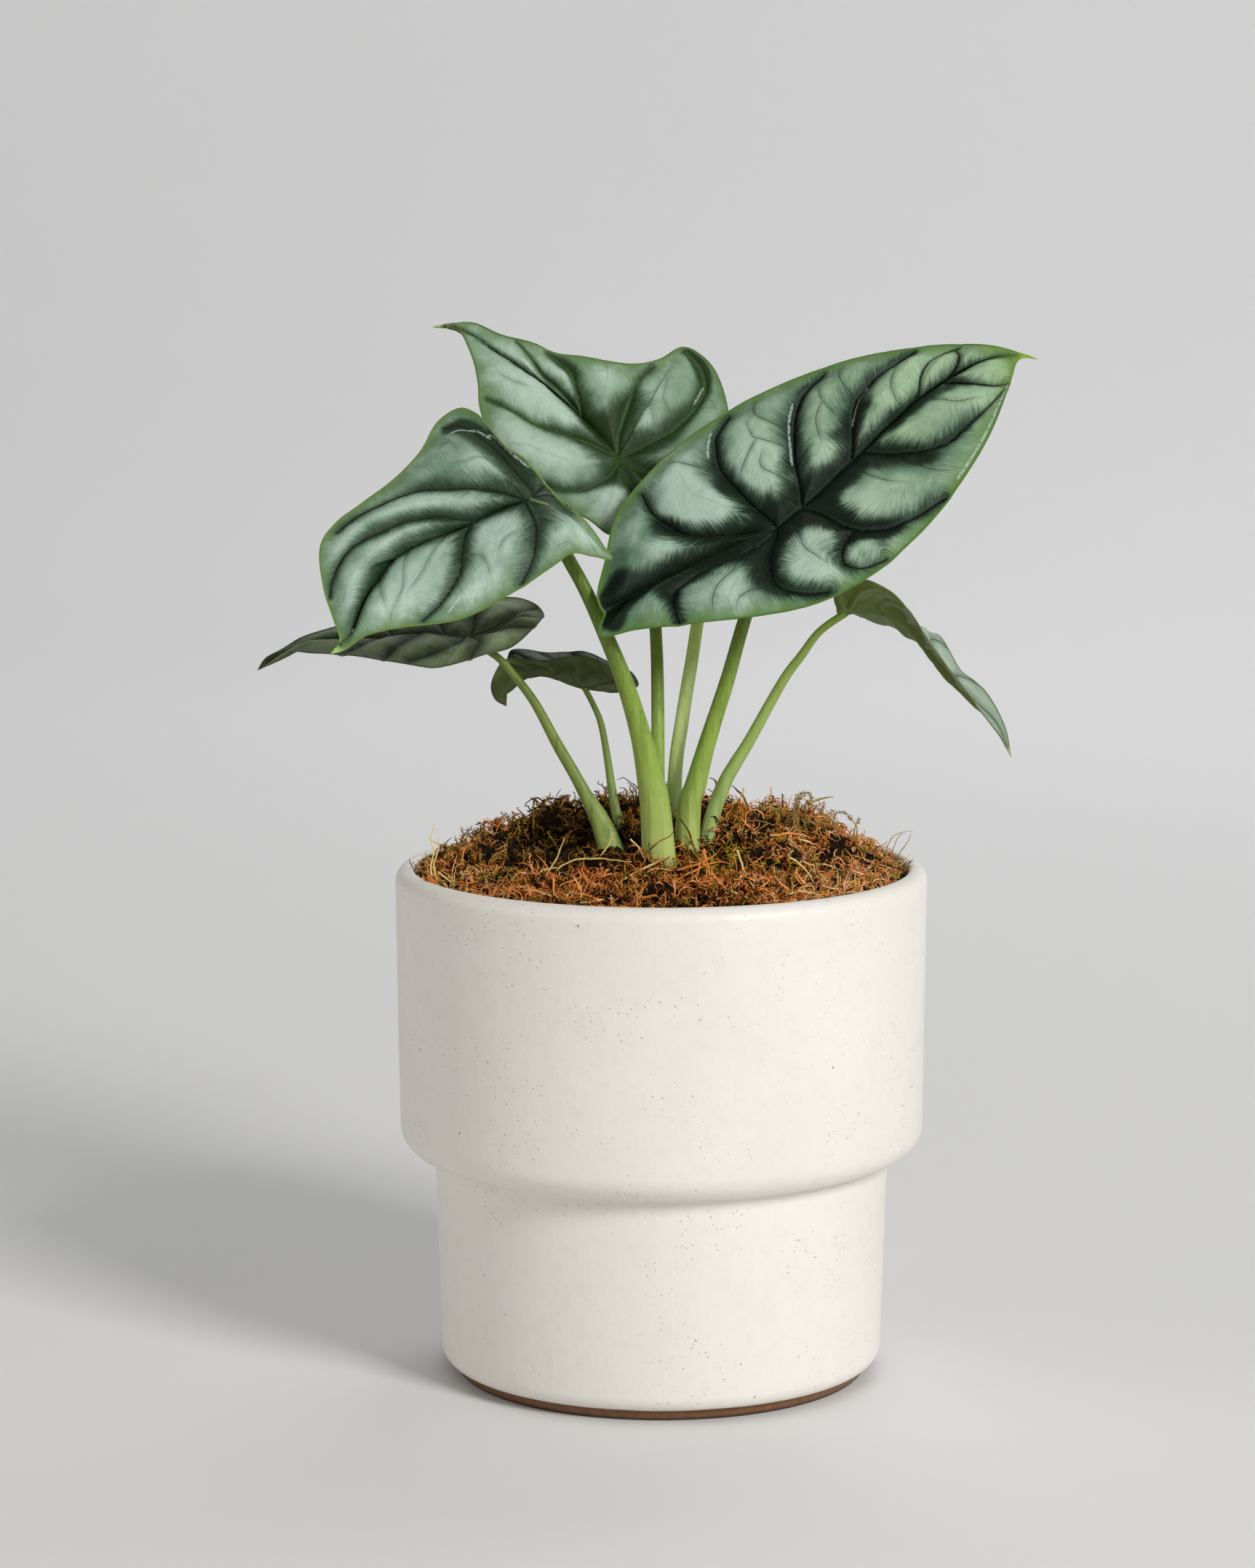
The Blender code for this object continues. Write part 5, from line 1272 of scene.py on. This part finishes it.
chosen = node(scatter, "GeometryNodeCollectionInfo", {
    "Collection": given["Shapes"], "Separate Children": True, "Reset Children": True})
placed = node(scatter, "GeometryNodeInstanceOnPoints", {
    "Points": spread.outputs["Points"], "Instance": chosen.outputs[0], "Pick Instance": True,
    "Rotation": stood.outputs[0], "Scale": size.outputs[1]})
tone = node(scatter, "FunctionNodeRandomValue", {2: 0.0, 3: 1.0, "Seed": 7}, data_type="FLOAT")
own_tone = node(scatter, "GeometryNodeStoreNamedAttribute", {
    "Geometry": placed.outputs[0], "Name": "tone", "Value": tone.outputs[1]},
    data_type="FLOAT", domain="INSTANCE")
real = node(scatter, "GeometryNodeRealizeInstances", {"Geometry": own_tone.outputs[0]})
dressed = node(scatter, "GeometryNodeSetMaterial", {
    "Geometry": real.outputs[0], "Material": given["Material"]})
scatter.links.new(dressed.outputs[0], scatter.nodes.new("NodeGroupOutput").inputs[0])

# The carrier is a copy of the top of the mat, which the growth is scattered on.
carrier = solid("moss_carrier", np.array([vert.co for vert in mat.data.vertices]) / MM,
                [tuple(face.vertices) for face in mat.data.polygons], mat_finish)
shape = bmesh.new()
shape.from_mesh(carrier.data)
lower = [face for face in shape.faces
         if face.normal.z < 0.02 or face.calc_center_median().z < (MOSS_FOOT + 0.5) * MM]
bmesh.ops.delete(shape, geom=lower, context="FACES")
shape.to_mesh(carrier.data)
shape.free()

# Heights of the mat on a square grid, and how far each place stands above the mat around it, by
# which growth in its valleys is painted darker as painted shade.
grid = np.linspace(-67.0, 67.0, 224)
tops = np.array([[moss_height(x, y) for y in grid] for x in grid])
around = tops
for axis in (0, 1):
    around = np.mean([np.roll(around, shift, axis) for shift in range(-6, 7)], axis=0)
valley_shade = tops - around


def read_off(table, places):
    """Values of a table of the mat at places in millimetres, from its four nearest entries."""
    at = np.clip((places - grid[0]) / (grid[1] - grid[0]), 0, len(grid) - 1.001)
    low = at.astype(int)
    (i, j), (u, v) = low.T, (at - low).T
    near = table[i, j] * (1 - v) + table[i, j + 1] * v
    far = table[i + 1, j] * (1 - v) + table[i + 1, j + 1] * v
    return near * (1 - u) + far * u


def olive(x, y):
    """The green patch in front of the stalks."""
    return bump(x, y, (20, -13), (10, 9), 1.1) + bump(x, y, (12, -22), (8, 6), 0.4)


def hollow(x, y):
    """The pit behind the low left stalk and the gaps between the tufts of the front, painted dark as shade.
    """
    gaps = ((8, -25), (4, -56), (20, -54), (12, -45), (32, -26), (-39, -18), (-27, -54), (43, -44),
            (-8, -38))
    return bump(x, y, (-31, 0), (14, 14), 1.2) + sum(bump(x, y, gap, (5.5, 4), 0.9) for gap in gaps)


def weigh(name, rule, tufts):
    """Stores on the mat how thickly one kind of growth covers each place, from 0 to 1, in tufts."""
    values = []
    for vert in carrier.data.vertices:
        x, y = vert.co.x / MM, vert.co.y / MM
        gap = 0.55 * noise.noise(Vector((x, y, 7.0)) / 5.0) + 0.45 * noise.noise(Vector((x, y, 3.0)) / 2.2)
        tuft = clamp(0.62 + 2.6 * gap)
        inside = clamp((LIP_RADIUS - 1.0 - math.hypot(x, y)) / 1.8, 0.1)
        values.append(clamp(rule(x, y)) * (1 - tufts + tufts * tuft) * inside)
    write(carrier.data, name, values)


def cover(name, group, weight, density, tilt, size, seed, material):
    """One kind of growth scattered on the mat, as a plain mesh kept clear of the pot wall."""
    modifier = carrier.modifiers.new(name, "NODES")
    modifier.node_group = scatter
    for key, value in (("Shapes", group), ("Weight", weight), ("Density", density), ("Seed", seed),
                       ("Tilt", tilt), ("Smallest", size[0]), ("Largest", size[1]),
                       ("Material", material)):
        modifier[sockets[key]] = value
    graph = bpy.context.evaluated_depsgraph_get()
    mesh = bpy.data.meshes.new_from_object(carrier.evaluated_get(graph))
    carrier.modifiers.clear()
    mesh.name = name
    places = np.empty(len(mesh.vertices) * 3, np.float32)
    mesh.vertices.foreach_get("co", places)
    places = places.reshape(-1, 3)
    out = np.hypot(places[:, 0], places[:, 1])
    over = places[:, 2] >= (POT_HEIGHT + 0.5) * MM
    most = np.where(over, OVERHANG * MM, (LIP_RADIUS - CLEARANCE) * MM)
    places[:, :2] *= np.minimum(1.0, most / np.maximum(out, 1e-6))[:, None]
    mesh.vertices.foreach_set("co", places.ravel())
    flat = places[:, :2].astype(float) / MM
    # How high each point lies above the mat, less in its valleys and hollows, for the painted shade of the
    # growth's colours.
    rise = places[:, 2] / MM - read_off(tops, flat) + 0.7 * read_off(valley_shade, flat)
    write(mesh, "rise", rise - 1.5 * hollow(*flat.T))
    mesh.shade_smooth()
    mesh.update()
    thing = bpy.data.objects.new(name, mesh)
    bpy.context.scene.collection.objects.link(thing)
    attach(thing, "root")


def growth(name, dark, middle, light, rare):
    """Colours of moss or fibre: each strand has its own tone and is painted darker deep in the mat, as
    painted shade.
    """
    material, tree, shader, spot = finish(name, 0.8, Specular_IOR_Level=0.06)
    tone, rise = (node(tree, "ShaderNodeAttribute", attribute_name=layer).outputs["Fac"]
                  for layer in ("tone", "rise"))
    value = stirred(tree, tone, grain(tree, spot, 330.0, 3.0), 0.8)
    # Strands are lighter towards the right, painted light from the lamp on that side, and lighter towards
    # the far left.
    sideways = node(tree, "ShaderNodeSeparateXYZ", {0: spot}).outputs["X"]
    for start, end, share in ((0.010, 0.045, 0.30), (-0.018, -0.055, 0.22)):
        value = plus(tree, value, ramp(tree, sideways, start, end, 0.0, share))
    colour = tint(tree, ramp(tree, value, 0.05, 0.5), dark, middle)
    colour = tint(tree, ramp(tree, value, 0.5, 0.9), colour, light)
    colour = tint(tree, ramp(tree, value, 0.97, 1.1), colour, rare)
    # Painted shade: strands darken towards near-black the lower they lie in the mat.
    colour = tint(tree, ramp(tree, rise, -0.5, 1.9), toned(middle, 0.08), colour)
    paint(tree, shader, colour)
    return material


weigh("everywhere", lambda x, y: 1.0, 0.5)
# Dark moss grows thinly all over and thickly at the back left, away from the lamp, and in the hollows, where
# it is painted shade.
weigh("shaded_side", lambda x, y: 0.16 + 0.7 * (y > -8) * (x < 6) + hollow(x, y), 0.6)
# Rusty moss is thickest at the right, where more of it also paints the light of the lamp, and at the left
# and front.
weigh("rusty", lambda x, y: 0.5 + bump(x, y, (50, -2), (26, 36), 0.9) + bump(x, y, (-52, -8), (16, 22), 0.8)
      + 0.8 * (y < -20) - 0.8 * olive(x, y) - 1.2 * hollow(x, y), 0.95)
weigh("golden", lambda x, y: bump(x, y, (26, 16), (26, 18), 1.1) + bump(x, y, (-32, 30), (34, 14), 0.8)
      + bump(x, y, (30, -24), (10, 8), 0.3) + 0.06 - hollow(x, y), 0.9)
weigh("olive", lambda x, y: olive(x, y) + bump(x, y, (-40, -18), (8, 8), 0.4)
      + bump(x, y, (-20, 22), (16, 12), 0.3), 0.8)
weigh("tangled", lambda x, y: 0.3 + 0.9 * (y < -22) + bump(x, y, (20, -30), (26, 14), 0.8)
      + bump(x, y, (-48, -14), (16, 18), 0.6) - 1.5 * hollow(x, y), 0.6)

draw = np.random.default_rng(41)
sprigs = shapes("sprig", [leafy(draw, draw.uniform(4.5, 7.5)) for _ in range(9)])
fibres, hairs, straws = (
    shapes(name, [fibre(draw, draw.uniform(*length), draw.uniform(*thick), curl) for _ in range(count)])
    for name, length, thick, curl, count in (("fibre", (9, 19), (0.17, 0.27), 0.34, 12),
                                             ("hair", (4, 8), (0.13, 0.19), 0.5, 10),
                                             ("straw", (14, 22), (0.28, 0.4), 0.12, 6)))

dark_moss = growth("dark_moss", (0.006, 0.003, 0.001), (0.085, 0.042, 0.011), (0.42, 0.22, 0.036),
                   (0.58, 0.38, 0.08))
rusty_moss = growth("rusty_moss", (0.06, 0.014, 0.002), (0.76, 0.25, 0.055), (1.0, 0.47, 0.19),
                    (1.0, 0.68, 0.36))
golden_moss = growth("golden_moss", (0.06, 0.026, 0.002), (0.58, 0.29, 0.024), (0.92, 0.56, 0.09),
                     (0.60, 0.54, 0.07))
olive_moss = growth("olive_moss", (0.045, 0.032, 0.002), (0.36, 0.27, 0.016), (0.66, 0.53, 0.06),
                    (0.76, 0.66, 0.14))
root_fibre = growth("root_fibre", (0.10, 0.020, 0.003), (0.80, 0.24, 0.040), (1.0, 0.43, 0.13),
                    (1.0, 0.68, 0.32))
brown_sprig = growth("brown_sprig", (0.035, 0.022, 0.006), (0.17, 0.12, 0.035), (0.38, 0.29, 0.10),
                     (0.50, 0.40, 0.18))
dry_straw = growth("dry_straw", (0.40, 0.26, 0.06), (0.72, 0.53, 0.14), (0.92, 0.75, 0.29),
                   (1.0, 0.90, 0.58))

cover("dark_sprigs", sprigs, "shaded_side", 300000.0, 0.9, (0.5, 1.1), 1, dark_moss)
cover("rusty_sprigs", sprigs, "rusty", 300000.0, 0.9, (0.35, 0.85), 2, rusty_moss)
cover("golden_sprigs", sprigs, "golden", 340000.0, 0.9, (0.35, 0.85), 9, golden_moss)
cover("olive_sprigs", sprigs, "olive", 480000.0, 0.9, (0.4, 0.9), 3, olive_moss)
cover("rusty_hairs", hairs, "rusty", 330000.0, 0.8, (0.7, 1.2), 4, root_fibre)
cover("root_fibres", fibres, "tangled", 190000.0, 0.40, (0.6, 1.1), 5, root_fibre)
cover("dark_fibres", fibres, "everywhere", 50000.0, 0.5, (0.5, 0.9), 6, dark_moss)
cover("dry_straws", straws, "tangled", 6500.0, 0.25, (0.5, 1.0), 8, dry_straw)
for group in (sprigs, fibres, hairs, straws):
    for thing in list(group.objects):
        bpy.data.objects.remove(thing)
    bpy.data.collections.remove(group)
bpy.data.objects.remove(carrier)


# Loose twigs and straws
# A few longer pieces stand out of the moss: bent twigs by the stalks, straws over the rim and curled
# sprigs on the right. Each lies where it was dropped.

LOOSE_RISE = 9.0              # stored as the rise of a loose piece, which so takes its full colour
noise.seed_set(3)             # without it, noise_vector would take its seed from the clock


def loose(name, routes, material, shade, leaves=0, lying=False):
    """Separate strands through the places given, as (x, y, z) routes with a thickness each, with so
    many small leaves at every step of a strand. One that is lying stays on top of the mat."""
    draw = np.random.default_rng(77)
    points, faces = [], []
    for route, thick in routes:
        line = evenly(route, 0.8)[0]
        if lying:
            line[:, 2] = np.maximum(line[:, 2], read_off(tops, line[:, :2]) + 1.2)
        taper = 0.72 * thick * (1.0 - 0.65 * np.linspace(0, 1, len(line)) ** 2)
        for i, place in enumerate(line):
            taper[i] *= 1 + 0.25 * noise.noise(Vector(place) * 0.9)
            line[i] += 0.25 * np.array(noise.noise_vector(Vector(place) * 0.5))
        more, sheets = strand(line, taper, 6)
        faces += [tuple(i + len(points) for i in face) for face in sheets]
        points += more
        for place in np.repeat(line, leaves, axis=0):
            way = unit(draw.normal(size=3) + (0, 0, 0.3)) * draw.uniform(0.6, 1.4)
            across = 0.14 * unit(np.cross(way, (0.3, 0.2, 0.9)))
            faces += leaflet(len(points))
            points += [place - across, place + across, place + way, place + 0.4 * way + (0, 0, 0.15)]
    thing = solid(name, points, faces, material)
    write(thing.data, "tone", [shade] * len(points))
    write(thing.data, "rise", [LOOSE_RISE] * len(points))
    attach(thing, "root")


loose("bent_twigs", [
    ([(-4.0, -17, 136), (-4.6, -17.5, 139), (-3.4, -18, 142), (-0.9, -18.6, 144.4), (1.9, -18.4, 145.9),
      (3.4, -17, 148)], 0.34),
    ([(9.5, -9, 139), (8.1, -9, 142.4), (6.9, -9, 145.9), (4.8, -8.4, 149), (2.4, -7.6, 152)], 0.40),
    ([(-6, 14, 146), (-5, 18, 151), (-6.5, 20, 153.3), (-8.6, 21, 154.6), (-10.2, 22, 155.4),
      (-11.8, 22, 154.9)], 0.34),
    ([(-34, 14, 141), (-34, 14, 146), (-34, 14, 149), (-33.6, 14, 151.4), (-32.9, 14, 149.3),
      (-31.5, 14, 146)], 0.38),
    ([(16, 21, 149), (15, 22, 152.6), (14.6, 22, 154.8), (12.9, 22, 155.4)], 0.55),
    ([(23, 21, 148), (21.9, 22, 150.6), (20.7, 22, 151.8), (19.0, 22, 153.4)], 0.50),
], dark_moss, 0.62)
loose("bright_straws", [
    ([(-60.0, -14, 134), (-60.2, -14, 137.2), (-59.4, -14, 141.4), (-60.1, -14, 145.3),
      (-59.0, -14, 148.7)], 0.34),
    ([(-58.6, -15, 134), (-59.4, -14, 137.6), (-58.1, -14, 142.4), (-58.5, -14, 146.2),
      (-59.3, -14, 148)], 0.28),
    ([(-27.5, -22, 137.4), (-24.5, -22, 139.6), (-20.7, -22, 140.6), (-15.3, -22, 140.7),
      (-11.3, -22, 140.2), (-7.9, -22, 139.8)], 0.36),
    ([(19.3, -24, 143.1), (20.6, -30, 139.6), (20.1, -35, 136.8), (18.2, -40, 134.6),
      (15.8, -46, 133.4)], 0.46),
    ([(32.7, -27, 141.9), (35.6, -27, 139.9), (37.8, -28, 137.4), (39.0, -29, 135.2)], 0.34),
    ([(31.9, -41, 134.4), (34.7, -41, 135.4), (37.8, -41, 135.0), (41.0, -41, 133.9)], 0.34),
    ([(-57.8, -23, 137.4), (-55.5, -24, 135.7), (-53.3, -25, 134.2)], 0.34),
    ([(-29.8, -19, 136.4), (-27.4, -19, 140.2), (-25.2, -18, 145.5)], 0.34),
    ([(-16.0, -19, 140.9), (-13.8, -19, 144.0), (-12.1, -18, 147.0)], 0.32),
    ([(-8.2, -19, 145.4), (-6.0, -19.5, 143), (-4.5, -20, 140.2)], 0.34),
], dry_straw, 0.6, lying=True)
loose("orange_roots", [
    ([(10.8, -26, 143.9), (9.5, -27, 139.6), (8.8, -29, 135.4), (9.4, -32, 133.4)], 0.42),
    ([(10.7, -27, 143.4), (12.4, -31, 137.4), (12.9, -34, 133.6)], 0.42),
    ([(3.7, -26, 138.4), (9.3, -27, 140.2), (14.0, -26, 142.5)], 0.40),
    ([(2.0, -28, 135.4), (7.5, -28, 138.0), (13.0, -27, 140.5), (17.5, -26, 140.2)], 0.42),
    ([(-20, -24, 137), (-22, -28, 136.2), (-26, -31, 135.4), (-27, -35, 134.2)], 0.40),
    ([(-14, -23, 138), (-15, -28, 137), (-12, -33, 135.6), (-13, -39, 134)], 0.42),
    ([(28.2, -9, 144.6), (32.0, -9, 145.2), (36.2, -9, 145.0), (39.3, -9, 144.0)], 0.36),
    ([(-2, -30, 135), (-6, -34, 135.4), (-4, -40, 134.6), (-8, -45, 133.6)], 0.40),
    ([(24, -30, 138), (27, -34, 137), (25, -38, 135.5), (29, -43, 134)], 0.38),
], root_fibre, 0.62, lying=True)
loose("curled_sprigs", [
    ([(35.5, 8, 142), (35.1, 8, 147.6), (35.4, 8, 151.2), (37.1, 8, 153.4), (38.9, 8, 153.4),
      (40.0, 8, 151.7), (39.3, 8, 150.2), (38.4, 8, 151.0)], 0.30),
    ([(36.4, 8, 142), (36.0, 8, 148.0), (36.4, 8, 151.6), (37.8, 8, 152.8)], 0.24),
    ([(31.6, 9, 143), (31.2, 10, 147), (29.5, 10, 148.9)], 0.22),
    ([(38.4, 8, 142), (38.0, 8, 147.3), (37.7, 8, 150)], 0.22),
    ([(39.1, 8, 150.4), (41.0, 8, 149.6), (42.6, 8, 147.3), (43.0, 8, 144)], 0.22),
    ([(46.0, 6, 142), (45.6, 6, 146), (46.6, 6, 148.4), (48.6, 6, 148.4), (50.2, 6, 146.8)], 0.26),
    ([(43.6, 7, 142), (43.4, 6, 147), (45.4, 6, 148.8)], 0.24),
    ([(33.0, 9, 142), (33.4, 9, 146), (34.6, 9, 148.6), (36.0, 9, 149.4)], 0.22),
    ([(51.5, 5, 140), (51.0, 5, 144), (52.2, 5, 146.6)], 0.22),
], brown_sprig, 0.6, 12)
loose("curled_tips", [
    ([(39.1, 8, 150.8), (41.0, 8, 151.5), (43.3, 8, 152.1), (45.4, 8, 152.3)], 0.52),
    ([(26.8, 10, 148.6), (28.6, 10, 149.3), (31.0, 10, 148.9), (32.6, 10, 147.7)], 0.42),
], brown_sprig, 0.75, 1)
loose("wiry_sprigs", [
    ([(59.0, -2, 134), (59.0, -2, 138.5), (59.6, -2, 141.4), (60.9, -2, 143.4), (63.2, -2, 144.4),
      (65.9, -2, 144.7)], 0.22),
    ([(60.7, -2, 134), (60.7, -2, 139.3), (61.5, -2, 141.8), (62.6, -2, 143.6), (64.0, -2, 144.3)], 0.22),
    ([(61.4, -2, 135), (62.4, -2, 138.4), (63.9, -2, 140.7), (65.1, -2, 142.6), (65.8, -2, 144.2)], 0.22),
], dark_moss, 0.55)
